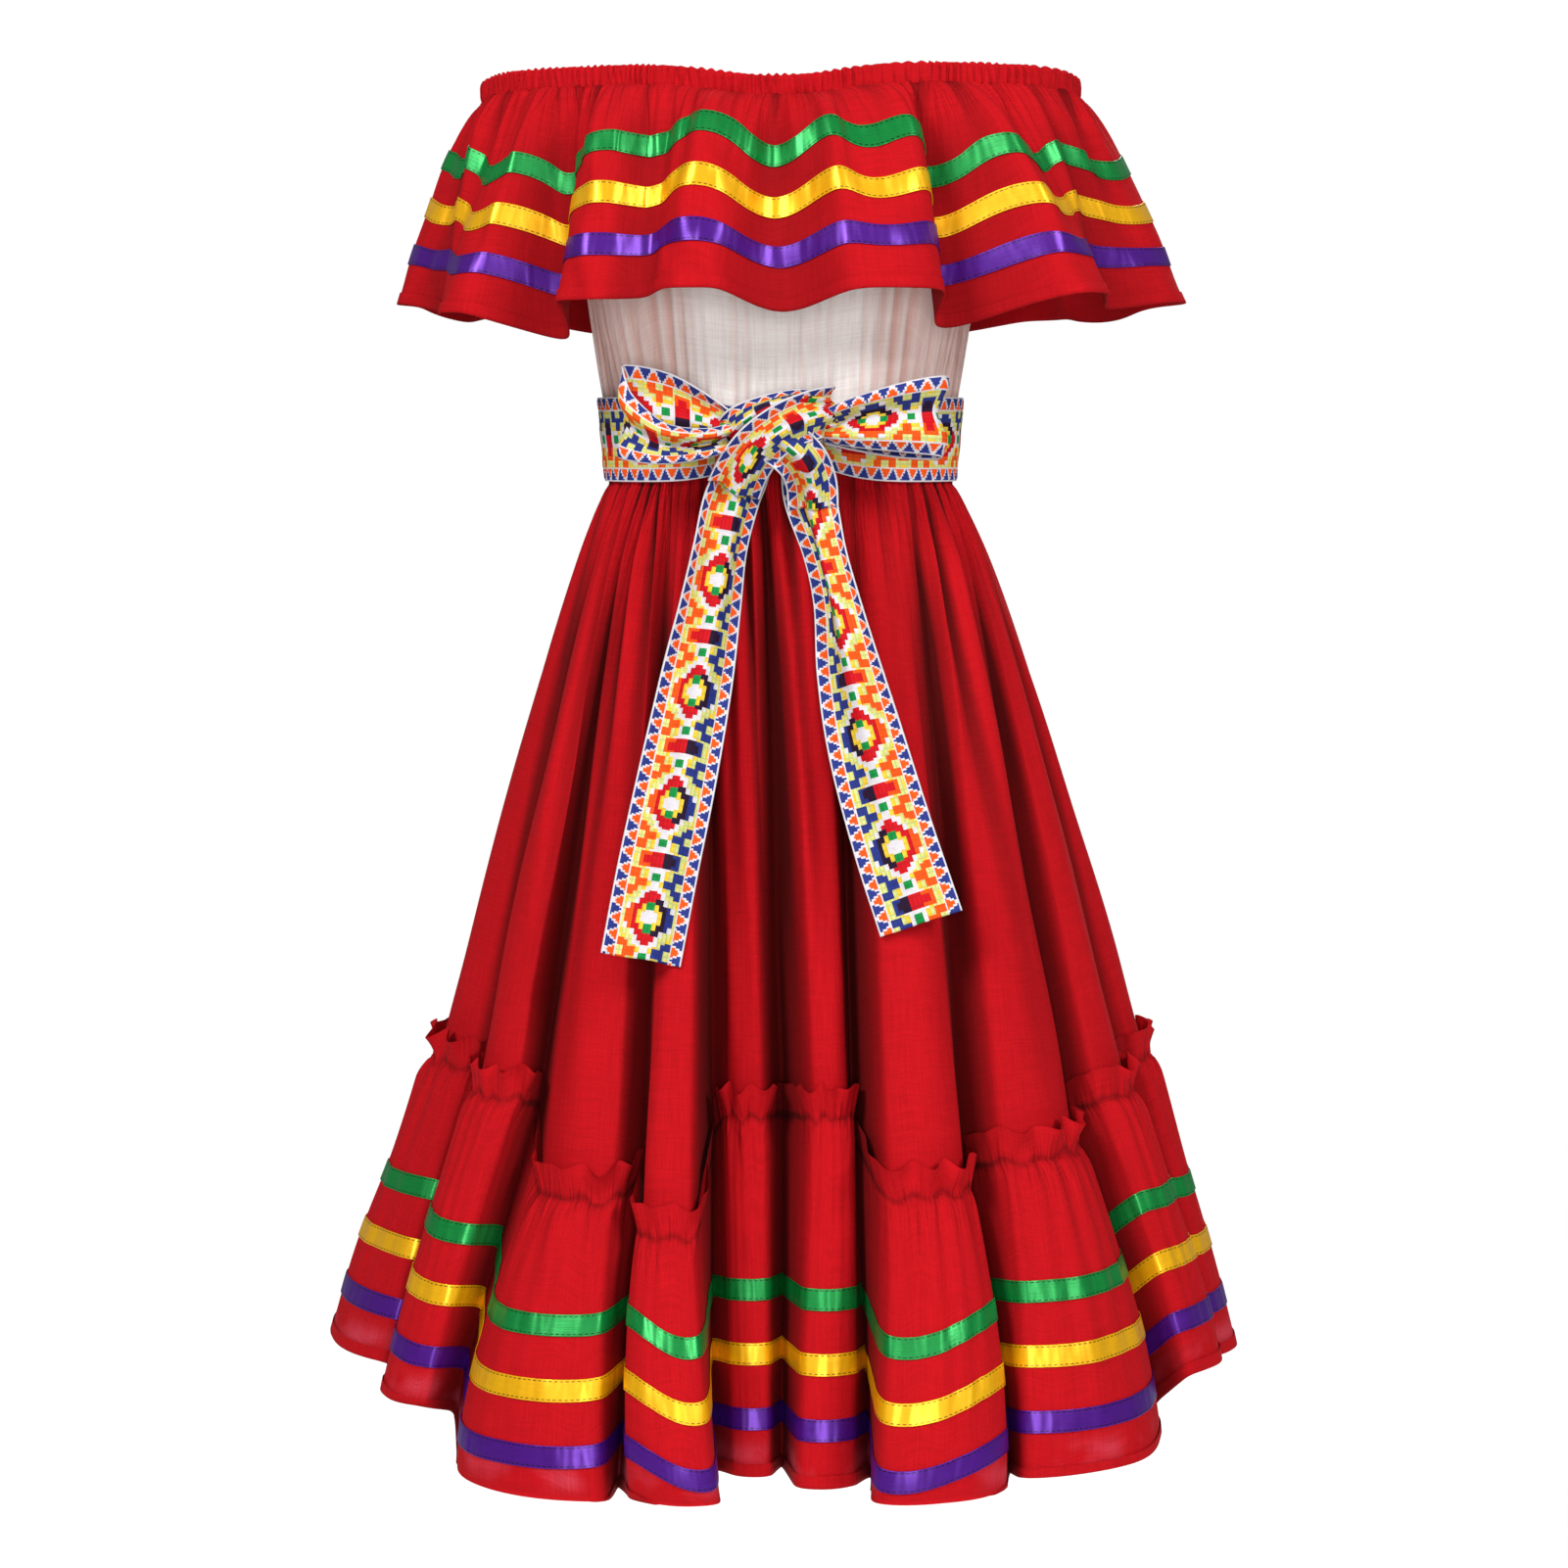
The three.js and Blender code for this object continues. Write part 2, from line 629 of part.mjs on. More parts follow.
// Each loop runs out from the knot, turns and comes back in front of itself
function loopSections(rows, side) {
  return rows.map(({ x, depth, z, width }) => ({
    middle: new THREE.Vector3(x, -depth, z),
    across: new THREE.Vector3(0, 0, -side),
    width,
  }));
}
addStrip("sash_loop_left", loopSections(leftLoop, 1), loopColumns);
addStrip("sash_loop_right", loopSections(rightLoop, -1), loopColumns);

// Knot: rings along X that swell in the middle, ridged by the folds of the wrapped strip
function knotGeometry() {
  const positions = [];
  const faces = [];
  const { x, depth, z } = knotCentre;
  for (let ring = 0; ring < knotRings; ring += 1) {
    const along = (2 * (ring + 0.5)) / knotRings - 1;
    const swell = Math.sqrt(1 - along ** 2);
    for (let side = 0; side < knotSides; side += 1) {
      const turn = (2 * Math.PI * side) / knotSides;
      const ridge = 1 + knotRidge * zigzag(side);
      positions.push(
        x + knotHalfLength * along,
        -depth + knotHalfDepth * swell * ridge * Math.cos(turn),
        z + knotHalfHeight * swell * ridge * Math.sin(turn),
      );
    }
  }
  positions.push(x - knotHalfLength, -depth, z, x + knotHalfLength, -depth, z);
  const leftPole = knotRings * knotSides;
  for (let side = 0; side < knotSides; side += 1) {
    const next = (side + 1) % knotSides;
    faces.push(leftPole, next, side);
    const last = (knotRings - 1) * knotSides;
    faces.push(leftPole + 1, last + side, last + next);
    for (let ring = 0; ring < knotRings - 1; ring += 1) {
      const a = ring * knotSides;
      const b = a + knotSides;
      faces.push(a + side, a + next, b + next, a + side, b + next, b + side);
    }
  }
  const geometry = new THREE.BufferGeometry();
  geometry.setAttribute("position", new THREE.Float32BufferAttribute(positions, 3));
  geometry.setIndex(faces);
  geometry.computeVertexNormals();
  return geometry;
}
const knot = new THREE.Mesh(knotGeometry(), materials.woven_sash);
knot.name = "sash_knot";
dress.add(knot);

export default dress;
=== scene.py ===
# A girl's off-the-shoulder folk dance dress, filled out as it is worn: ribbon-trimmed shoulder
# flounce, gathered white bodice, gathered skirt, frilled and ribbon-trimmed lower tier, woven sash.
# Shapes are in millimetres and go into the meshes in metres. +Z up, the front faces -Y, and
# angles run from the front towards +X, in degrees.
import math

import bpy
import numpy as np
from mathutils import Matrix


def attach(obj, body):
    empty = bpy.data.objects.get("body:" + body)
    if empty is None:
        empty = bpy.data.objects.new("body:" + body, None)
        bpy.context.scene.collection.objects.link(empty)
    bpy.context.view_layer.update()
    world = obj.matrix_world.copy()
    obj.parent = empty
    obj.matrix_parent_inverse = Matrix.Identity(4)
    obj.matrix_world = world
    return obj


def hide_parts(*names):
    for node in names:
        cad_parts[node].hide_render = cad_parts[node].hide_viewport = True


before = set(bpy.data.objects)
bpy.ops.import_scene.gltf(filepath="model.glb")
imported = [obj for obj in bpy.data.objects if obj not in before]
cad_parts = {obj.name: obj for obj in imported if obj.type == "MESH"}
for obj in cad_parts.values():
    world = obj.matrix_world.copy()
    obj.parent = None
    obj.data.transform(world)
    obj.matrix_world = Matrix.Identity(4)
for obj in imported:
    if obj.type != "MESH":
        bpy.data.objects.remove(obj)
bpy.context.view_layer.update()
print("frame loaded")

# Camera at the photograph's viewing angle
camera = {"place": (0.002, -2.0, -0.20175), "pitch": 84.246, "lens": 78.6, "sensor": 36.0}
cameraData = bpy.data.cameras.new("camera")
cameraData.lens = camera["lens"]
cameraData.sensor_width = camera["sensor"]


# Puts an object into the scene
def addObject(name, data, place=(0, 0, 0), turn=(0, 0, 0)):
    added = bpy.data.objects.new(name, data)
    added.location = place
    added.rotation_euler = turn
    bpy.context.scene.collection.objects.link(added)
    return added


cameraTurn = (math.radians(camera["pitch"]), 0, 0)
bpy.context.scene.camera = addObject("camera", cameraData, camera["place"], cameraTurn)
bpy.context.scene.view_settings.view_transform = "Standard"


# A table as a dictionary of columns
def namedColumns(names, rows):
    return {name: np.array(values, float) for name, values in zip(names.split(), zip(*rows))}


# Each fold of a ring: its ridge's two edges, radius and height, the valley after it, and where
# the valley starts at the neckline or waist
foldNames = "start end reach z valleyAt valleyReach valleyZ startAt"
flounceFolds = namedColumns(foldNames, [
    (-46, -34, 174, -127, -30, 145, -126, -41),
    (-25, -12, 156, -121, 0.5, 118, -137, 1),
    (14, 36, 161, -121, 43, 116, -147, 46),
    (53, 67, 203, -122, 73, 187, -131, 68),
    (80, 100, 232, -124, 108, 202, -134, 106),
    (114, 128, 192, -130, 136, 142, -140, 130),
    (143, 159, 165, -132, 166, 128, -138, 157),
    (173, 188, 158, -130, 195, 126, -138, 190),
    (202, 218, 168, -133, 226, 140, -141, 222),
    (233, 248, 196, -130, 254, 196, -134, 250),
    (260, 274, 222, -124, 279, 196, -130, 281),
    (286, 299, 203, -132, 303, 132, -152, 300),
])
seamFolds = namedColumns(foldNames, [
    (-90, -67.5, 199, -560, -65, 176, -562, -74),
    (-61, -49, 199, -567, -53, 170, -575, -59),
    (-46, -29.8, 190, -617, -28.5, 152, -604, -45.5),
    (-23.6, -14.5, 192, -632, -21, 108, -594, -31),
    (-14, -4.5, 123, -578, 1, 86, -582, -8),
    (7.5, 15.8, 142, -575, 20.5, 114, -585, 24),
    (18, 33, 192, -611, 38, 160, -606, 55),
    (39, 58, 201, -597, 62, 178, -588, 74),
    (61.5, 75, 209, -573, 77.5, 192, -570, 87),
    (80.5, 92.5, 213, -562, 95.5, 196, -562, 102),
    (98, 116, 207, -570, 119, 182, -572, 122),
    (122, 142, 200, -588, 146, 162, -588, 144),
    (150, 170, 193, -603, 174, 144, -598, 168),
    (178, 197, 191, -606, 201, 144, -598, 190),
    (205, 225, 196, -594, 229, 164, -586, 214),
    (233, 255, 201, -574, 262, 180, -564, 246),
])
# The lower hem has no start of its own. Puff is how far the tier swells above it, and the last two
# are how much cloth is turned under at each side of the ridge.
hemFolds = namedColumns(foldNames.replace("startAt", "puff underLeft underRight"), [
    (-92, -64, 262, -720, -63, 234, -726, 3, 0, 0),
    (-61.5, -50.5, 259, -731, -54, 224, -742, 5, 0, 4),
    (-47.5, -22.4, 252, -765, -25.6, 205, -768, 15, 10, 8),
    (-19.2, -7.2, 248, -761, -14, 165, -766, 20, 2, 20),
    (-8, -1.6, 187, -763, 0.4, 148, -768, 4, 0, 0),
    (2.4, 11.5, 206, -764, 17, 174, -768, 5, 0, 0),
    (11.3, 30, 252, -761, 36, 213, -764, 16, 22, 5),
    (31.6, 59, 260, -756, 64.5, 234, -748, 10, 2, 2),
    (62, 74.5, 265, -724, 77.5, 257, -728, 5, 0, 0),
    (78.5, 92, 267, -732, 95, 242, -738, 3, 0, 0),
    (98, 118, 265, -740, 121, 236, -744, 5, 0, 0),
    (124, 145, 260, -748, 149, 214, -753, 8, 4, 0),
    (153, 172, 254, -754, 176, 196, -761, 12, 0, 10),
    (180, 199, 252, -755, 203, 198, -761, 14, 12, 2),
    (207, 227, 256, -749, 231, 218, -754, 10, 0, 6),
    (235, 257, 261, -737, 262, 238, -735, 5, 3, 0),
])

# Shapes shared by the pieces
fold = {"flank": 2 / 7, "sag": 0.13, "ease": 1.3, "valleyRound": 1.7,
        "open": (0, 0.3, 0.9, 1, 1, 0.9, 0.3, 0)}
neck = {"halfWidth": 171, "halfDepth": 84, "squareness": 2.5, "casing": 12, "wall": 2.6}
waist = {"halfWidth": 99, "halfDepth": 75, "seamZ": -203, "sashTopZ": -178, "sashBottomZ": -226}
seamGap = 0.3


# Eases from 0 to 1 between two values
def smoothStep(values, low, high):
    share = np.clip((values - low) / (high - low), 0, 1)
    return share * share * (3 - 2 * share)


# A straight mix of two values
def mix(first, second, share):
    return first + (second - first) * share


# A mix of two lines of points, sideways by one share and in height by another
def mixPoints(first, second, aside, down):
    return np.concatenate([mix(first[..., :2], second[..., :2], aside[..., None]),
                           mix(first[..., 2:], second[..., 2:], down[..., None])], -1)


# Points at an angle from the front, a radius and a height
def polar(angle, reach, z):
    turned = np.radians(angle)
    return np.stack(np.broadcast_arrays(reach * np.sin(turned), -reach * np.cos(turned), z), -1)


# The radius of a rounded box with these half sizes: the p-norm circle, with p the squareness
def roundedReach(angle, halfWidth, halfDepth, squareness=2.0):
    across = np.abs(np.sin(np.radians(angle)) / halfWidth) ** squareness
    deep = np.abs(np.cos(np.radians(angle)) / halfDepth) ** squareness
    return (across + deep) ** (-1 / squareness)


# The neckline dips at the front and back, rises to both shoulders and turns down over each arm
def neckHeight(angle):
    aside = np.sin(np.radians(angle))
    rise = 6.5 * smoothStep(np.abs(aside), 0.1, 0.75)
    return -1.5 + rise - 3.5 * aside**40 + 1.2 * aside


def neckReach(angle):
    return roundedReach(angle, neck["halfWidth"], neck["halfDepth"], neck["squareness"])


# The angle nearest to a reference one, whole turns away from the one given
def unwrap(angle, near):
    return angle + 360 * np.round((near - angle) / 360)


# A ring's grid with its first column added again at its end
def closed(grid):
    return np.concatenate([grid, grid[:, :1]], 1)


# Values of a ring rounded off by a bell-shaped average over its neighbours, as stiff cloth does
def rounded(values, spread, axis=0):
    steps = np.arange(-3 * spread, 3 * spread + 1)
    weights = np.exp(-0.5 * (steps / spread) ** 2)
    weights /= weights.sum()
    return sum(w * np.roll(values, s, axis) for w, s in zip(weights, steps))


# A sum of waves round a ring, whole numbers of them in a turn so that it closes. turn and down run
# from 0 to 1, and each wave has its own count, slant and phase from the seed.
def waves(turn, down, counts, slant, seed):
    chance = np.random.default_rng(seed)
    total = 0
    for count in counts:
        total = total + np.sin(2 * math.pi * (count * turn + chance.uniform(-slant, slant) * down
                                              + chance.uniform()))
    return total / math.sqrt(len(counts))


# Gathers of a cloth as distances outwards. Each row of a piece's table gives their height, the
# counts, slant and seed of their waves, the power of the share still below by which they fade, and
# the shares between which they come in and go out.
def gathers(piece, turn, share):
    return sum(
        height * waves(turn, share, counts, slant, seed)
        * (1 - share) ** fade * smoothStep(share, *comeIn) * (1 - smoothStep(share, *goOut))
        for height, counts, slant, seed, fade, comeIn, goOut in piece["gathers"])


# How far the second row of gathers falls back into pleats, from 0
def pleatDepth(piece, turn, share):
    counts, slant, seed = piece["gathers"][1][1:4]
    return np.clip(-waves(turn, share, counts, slant, seed), 0, 1.5)


# The number of the ridge that each column belongs to
def ridgeAt(folds, along):
    return np.floor(along).astype(int) % len(folds["reach"])


# A folded ring's points by fold number. A ridge is a shallow arch, and a flank eases from the
# ridge's edge to the valley: the radius by a power of the way down, the angle by a higher one.
def foldRing(folds, along):
    count = len(folds["reach"])
    ridge = ridgeAt(folds, along)
    share = along % 1
    flank = fold["flank"]
    column = {name: values[ridge] for name, values in folds.items()}
    sag = fold["sag"] * column["reach"] * np.radians(column["end"] - column["start"])
    across = np.clip((share - flank) / (1 - 2 * flank), 0, 1)
    crown = column["reach"] + sag / 3 - sag * (2 * across - 1) ** 2
    isLeft = share < flank
    valley = np.where(isLeft, (ridge - 1) % count, ridge)
    down = np.clip(np.where(isLeft, 1 - share / flank, (share - 1 + flank) / flank), 0, 1)
    edge = mix(column["start"], column["end"], across)
    angle = mix(edge, unwrap(folds["valleyAt"][valley], edge), down ** fold["valleyRound"])
    fall = down ** fold["ease"]
    return polar(
        angle,
        mix(crown, folds["valleyReach"][valley], fall),
        mix(column["z"], folds["valleyZ"][valley], fall),
    )


# How much a column lies in a valley: 0 on the ridges, 1 at the bottom
def valleyShare(along):
    return 1 - np.interp(along % 1 * 7, np.arange(8), fold["open"])


# Where each column starts at the neckline or waist, as an angle
def startAngle(folds, along):
    ridge = ridgeAt(folds, along)
    here = folds["startAt"][ridge]
    return mix(unwrap(folds["startAt"][ridge - 1], here - 20), here, along % 1)


# Outward directions of a grid, rows down and columns round: across the steps to its neighbours
def gridNormals(grid, ring):
    down = np.gradient(grid, axis=0)
    if ring:
        aside = np.roll(grid, -1, 1) - np.roll(grid, 1, 1)
    else:
        aside = np.gradient(grid, axis=1)
    normals = np.cross(down, aside)
    return normals / np.maximum(np.linalg.norm(normals, axis=2, keepdims=True), 1e-9)


# Running length of a grid along one of its directions
def runningLength(grid, axis):
    steps = np.linalg.norm(np.diff(grid, axis=axis), axis=2)
    start = np.zeros_like(np.take(steps, [0], axis))
    return np.concatenate([start, np.cumsum(steps, axis)], axis)


# The four corners of each face of a grid
def faceCorners(grid):
    return np.stack([grid[:-1, :-1], grid[1:, :-1], grid[1:, 1:], grid[:-1, 1:]], 2)


# Mesh from a grid of points in millimetres, in place of a node. A closed direction joins its last
# line to its first. cloth holds a UV in metres along and across the cloth, one more line of it in a
# closed direction, and marks are numbers at the points for the material to read.
def gridPiece(name, node, slot, grid, cloth, closedRound=False, closedDown=False,
              faceColours=None, marks=None):
    rows, columns = grid.shape[:2]
    index = np.arange(rows * columns).reshape(rows, columns)
    if closedRound:
        index = closed(index)
    if closedDown:
        index = closed(index.T).T
    faces = faceCorners(index)
    count = faces.size // 4
    mesh = bpy.data.meshes.new(name)
    mesh.vertices.add(rows * columns)
    mesh.vertices.foreach_set("co", (grid * 0.001).astype(np.float32).ravel())
    mesh.loops.add(4 * count)
    mesh.loops.foreach_set("vertex_index", faces.astype(np.int32).ravel())
    mesh.polygons.add(count)
    mesh.polygons.foreach_set("loop_start", np.arange(0, 4 * count, 4, dtype=np.int32))
    mesh.polygons.foreach_set("use_smooth", np.ones(count, bool))
    corners = faceCorners(cloth).astype(np.float32)
    mesh.uv_layers.new(name="cloth").data.foreach_set("uv", corners.ravel())
    if faceColours is not None:
        yarn = mesh.color_attributes.new("yarn", "FLOAT_COLOR", "CORNER")
        fullColours = np.concatenate([faceColours, np.ones(faceColours.shape[:2] + (1,))], 2)
        yarn.data.foreach_set("color", np.repeat(fullColours.reshape(-1, 4), 4, 0).ravel())
    for key, values in (marks or {}).items():
        spread = np.broadcast_to(values, (rows, columns)).astype(np.float32)
        mesh.attributes.new(key, "FLOAT", "POINT").data.foreach_set("value", spread.ravel())
    mesh.update(calc_edges=True)
    mesh.validate()
    mesh.materials.append(materials[slot])
    piece = addObject(name, mesh)
    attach(piece, "root")
    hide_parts(node)
    return piece


# The cloth's own UV: along it by the running length of its widest line, down it by each line's own
def clothMap(grid, widest):
    wide = closed(grid)
    along = runningLength(wide[widest][None], 1)[0]
    down = runningLength(wide, 0)
    return np.stack([np.broadcast_to(along, down.shape), down], -1) * 0.001


# Materials


# One sRGB hex value as linear colour
def linearColour(hexText):
    srgb = [int(hexText[i:i + 2], 16) / 255 for i in (1, 3, 5)]
    return [v / 12.92 if v <= 0.04045 else ((v + 0.055) / 1.055) ** 2.4 for v in srgb] + [1.0]


# Adds a node with its settings, by attribute or input name, and its links from other nodes
def addNode(tree, kind, settings=None, links=None):
    node = tree.nodes.new("ShaderNode" + kind)
    for key, value in (settings or {}).items():
        if isinstance(key, str) and hasattr(node, key):
            setattr(node, key, value)
        else:
            node.inputs[key].default_value = value
    for key, (source, output) in (links or {}).items():
        tree.links.new(source.outputs[output], node.inputs[key])
    return node


# A new material with its shader set, the tree to add to and its node for the cloth's own UV
def newMaterial(name, settings):
    material = bpy.data.materials.new(name)
    material.use_nodes = True
    tree = material.node_tree
    shader = tree.nodes["Principled BSDF"]
    for key, value in settings.items():
        shader.inputs[key].default_value = value
    return material, tree, shader, addNode(tree, "UVMap", {"uv_map": "cloth"})


# A math node on numbers and on other nodes' outputs
def calculate(tree, operation, *values):
    numbers = {i: v for i, v in enumerate(values) if not isinstance(v, tuple)}
    links = {i: v for i, v in enumerate(values) if isinstance(v, tuple)}
    return addNode(tree, "Math", {"operation": operation, **numbers}, links)


# One colour over another by a share, mixed in or multiplied. A colour is a hex value or an output.
def blend(tree, share, under, over, how="MIX"):
    colours = {6: under, 7: over}
    fixed = {i: linearColour(c) for i, c in colours.items() if isinstance(c, str)}
    links = {i: c for i, c in colours.items() if isinstance(c, tuple)}
    return addNode(tree, "Mix", {"data_type": "RGBA", "blend_type": how, **fixed},
                   {0: share, **links})


# Relief by a height, over a finer relief where one is given
def relief(tree, height, strength, distance, finer=None):
    links = {"Height": (height, 0)}
    if finer:
        links["Normal"] = (finer, 0)
    return addNode(tree, "Bump", {"Strength": strength, "Distance": distance}, links)


# Woven threads as noise drawn out along one direction of the cloth: pitch across the thread and
# length along it, in millimetres
def threads(tree, uvMap, pitch, length, turned):
    scale = (1000 / pitch, 1000 / length, 1) if turned else (1000 / length, 1000 / pitch, 1)
    placed = addNode(tree, "Mapping", {"Scale": scale}, {"Vector": (uvMap, "UV")})
    return addNode(tree, "TexNoise", {"Scale": 1.0, "Detail": 2.0, "Roughness": 0.6},
                   {"Vector": (placed, "Vector")})


# Two dashed lines of stitches along a tape, 1 on the thread: distance from its middle, times a dash
# along it
def stitches(tree, uvMap):
    split = addNode(tree, "SeparateXYZ", {}, {0: (uvMap, "UV")})
    aside = calculate(tree, "SUBTRACT", (split, "Y"), ribbon["width"] / 2000)
    far = calculate(tree, "ABSOLUTE", (aside, 0))
    line = calculate(tree, "COMPARE", (far, 0), ribbon["stitchAt"] / 1000, ribbon["stitch"] / 1000)
    step = calculate(tree, "DIVIDE", (split, "X"), ribbon["stitchPitch"] / 1000)
    part = calculate(tree, "FRACT", (step, 0))
    dash = calculate(tree, "LESS_THAN", (part, 0), 0.62)
    return calculate(tree, "MULTIPLY", (line, 0), (dash, 0))


# Plain-woven cotton, piece-dyed: matt, with thick and thin places in the yarn. The real yarns lie
# 0.4 mm apart and are drawn about 1 mm apart, to show. Puckers 6 to 8 mm apart run down the cloth
# where it is gathered, and light comes through in patches where it is sheer.
def slubCotton(name, settings):
    material, tree, shader, uvMap = newMaterial(name, {
        "Roughness": settings["roughness"], "Sheen Weight": settings["sheen"],
        "Sheen Roughness": 0.4, "Specular IOR Level": 0.12})
    weft = threads(tree, uvMap, settings["pitch"], 26, False)
    warp = threads(tree, uvMap, settings["pitch"], 26, True)
    weave = calculate(tree, "ADD", (weft, 0), (warp, 0))
    level = addNode(tree, "MapRange", {"From Min": 0.7, "From Max": 1.3}, {"Value": (weave, 0)})
    colour = blend(tree, (level, 0), settings["dark"], settings["light"])
    # Painted shade: the depth mark multiplies the colour by the fold colour in valleys, pleats,
    # seams and on the bodice's sides
    depth = addNode(tree, "Attribute", {"attribute_name": "depth"})
    paintedShade = blend(tree, (depth, "Fac"), (colour, 2), settings["fold"], "MULTIPLY")
    sheer = addNode(tree, "Attribute", {"attribute_name": "sheer"})
    patches = addNode(tree, "TexNoise", {"Scale": 24.0, "Detail": 2.0}, {"Vector": (uvMap, "UV")})
    thin = addNode(tree, "MapRange", {"From Min": 0.46, "From Max": 0.66,
                                      "To Max": settings["sheer"]}, {"Value": (patches, 0)})
    woven = calculate(tree, "MULTIPLY", (thin, 0), (weave, 0))
    shown = calculate(tree, "MULTIPLY", (woven, 0), (sheer, "Fac"))
    paler = blend(tree, (shown, 0), (paintedShade, 2), "#D4647C")
    tree.links.new(paler.outputs[2], shader.inputs["Base Color"])
    yarnRelief = relief(tree, weave, settings["bump"], 0.0002)
    pulled = addNode(tree, "Attribute", {"attribute_name": "gather"})
    puckers = threads(tree, uvMap, settings["pucker"], 45, True)
    pucker = calculate(tree, "MULTIPLY", (pulled, "Fac"), (puckers, 0))
    creased = relief(tree, pucker, 0.9, 0.006, yarnRelief)
    tree.links.new(creased.outputs[0], shader.inputs["Normal"])
    return material


# Polyester satin: long floats give a bright soft gloss along the folds. Sewn down by a line of
# 3 mm stitches near each edge, between which the tape cockles.
def satinRibbon(name, base, shade):
    material, tree, shader, uvMap = newMaterial(name, {
        "Metallic": 0.45, "Roughness": 0.34, "Specular IOR Level": 0.4})
    sewn = stitches(tree, uvMap)
    floats = threads(tree, uvMap, 0.9, 14, False)
    tone = blend(tree, (floats, 0), base, shade)
    colour = blend(tree, (sewn, 0), (tone, 2), "#817C6F", "MULTIPLY")
    tree.links.new(colour.outputs[2], shader.inputs["Base Color"])
    height = calculate(tree, "MULTIPLY_ADD", (sewn, 0), -3.0, (floats, 0))
    cockles = threads(tree, uvMap, 17, 60, True)
    cockled = relief(tree, cockles, 0.65, 0.003, relief(tree, height, 0.2, 0.0002))
    tree.links.new(cockled.outputs[0], shader.inputs["Normal"])
    return material


# Jacquard trim, rayon on cotton: each face takes the colour of the yarn that floats there, and fine
# yarns 0.8 mm apart show in it
def jacquard(name):
    material, tree, shader, uvMap = newMaterial(name, {
        "Roughness": 0.7, "Specular IOR Level": 0.15})
    yarn = addNode(tree, "Attribute", {"attribute_name": "yarn"})
    fine = threads(tree, uvMap, 0.8, 3, True)
    tone = addNode(tree, "MapRange", {"To Min": 0.72, "To Max": 1.12}, {"Value": (fine, 0)})
    colour = addNode(tree, "VectorMath", {"operation": "SCALE"},
                     {0: (yarn, "Color"), "Scale": (tone, 0)})
    tree.links.new(colour.outputs[0], shader.inputs["Base Color"])
    raised = relief(tree, fine, 0.5, 0.0003)
    tree.links.new(raised.outputs[0], shader.inputs["Normal"])
    return material


ribbon = {"width": 12.0, "wall": 0.45, "lift": 0.35, "stitchAt": 4.9, "stitch": 0.3,
          "stitchPitch": 3.2, "lines": np.array([1, 0.95, 0, -0.95, -1])}
# By slot
materials = {
    # fold is the colour of the painted shade that the depth mark multiplies in, pink on the white
    # cloth
    "red_cotton": slubCotton("red slub cotton", {
        "dark": "#9A040D", "light": "#AE0813", "fold": "#74464A", "roughness": 0.9, "sheen": 0.0,
        "pitch": 1.2, "pucker": 6.0, "bump": 0.3, "sheer": 0.22}),
    "white_cotton": slubCotton("white voile cotton", {
        "dark": "#F0E6E0", "light": "#FFFCFA", "fold": "#DAB2A9", "roughness": 0.9, "sheen": 0.05,
        "pitch": 1.0, "pucker": 8.0, "bump": 0.25, "sheer": 0.0}),
    "green_satin": satinRibbon("green polyester satin", "#0D8E3E", "#096F30"),
    "yellow_satin": satinRibbon("yellow polyester satin", "#F2B90F", "#DE9E08"),
    "purple_satin": satinRibbon("purple polyester satin", "#551790", "#3E0D6E"),
    "woven_sash": jacquard("jacquard-woven trim"),
}
print("materials made")


# Ribbons: a flat tape laid on the cloth, as a closed loop of rows round its section
def addTape(node, surface, colour):
    normals = gridNormals(surface, False)
    over = surface + normals * (ribbon["lift"] + ribbon["wall"])
    under = surface + normals * ribbon["lift"]
    grid = np.concatenate([over, under[::-1]])
    along = runningLength(over[len(over) // 2][None], 1)[0]
    across = (1 - ribbon["lines"][:, None]) * ribbon["width"] / 2
    acrossLoop = np.concatenate([across, across[::-1], across[:1]])
    cloth = np.stack(np.broadcast_arrays(along[None], acrossLoop), -1) * 0.001
    return gridPiece(f"{node}_tape", node, f"{colour}_satin", grid, cloth, closedDown=True)


# Works out the lengths of a panel's lines across and of its middle column, in metres, and does
# nothing with them
def declareSheet(grid):
    lines = runningLength(grid, 1)[:, -1] / 1000
    length = np.median(runningLength(grid, 0)[-1]) / 1000


# Each ribbon's colour, with the surface's lines under it by their distances above the hem
def ribbonLines(piece, linesAt):
    return [(colour, linesAt(rise + ribbon["width"] / 2 * ribbon["lines"]))
            for colour, rise in piece["ribbons"]]


# Cuts a ring's grid and UV into panels, each from one fold to another, and lays their ribbons on
# them.
# seen leaves out what is turned inside.
def addPanels(piece, grid, cloth, marks, slot, tapes=(), seen=None):
    for name, first, last in piece["panels"]:
        columns = np.arange(first * piece["columns"], last * piece["columns"] + 1)
        picked = columns % grid.shape[1]
        cut = {key: np.broadcast_to(values, grid.shape[:2])[:, picked]
               for key, values in marks.items()}
        panel = gridPiece(f"{name}_cloth", name, slot, grid[:, picked], cloth[:, columns],
                          marks=cut)
        sewn = [addTape(f"{name}_ribbon_{colour}", lines[:, picked], colour)
                for colour, lines in tapes]
        declareSheet((grid if seen is None else seen)[:, picked])


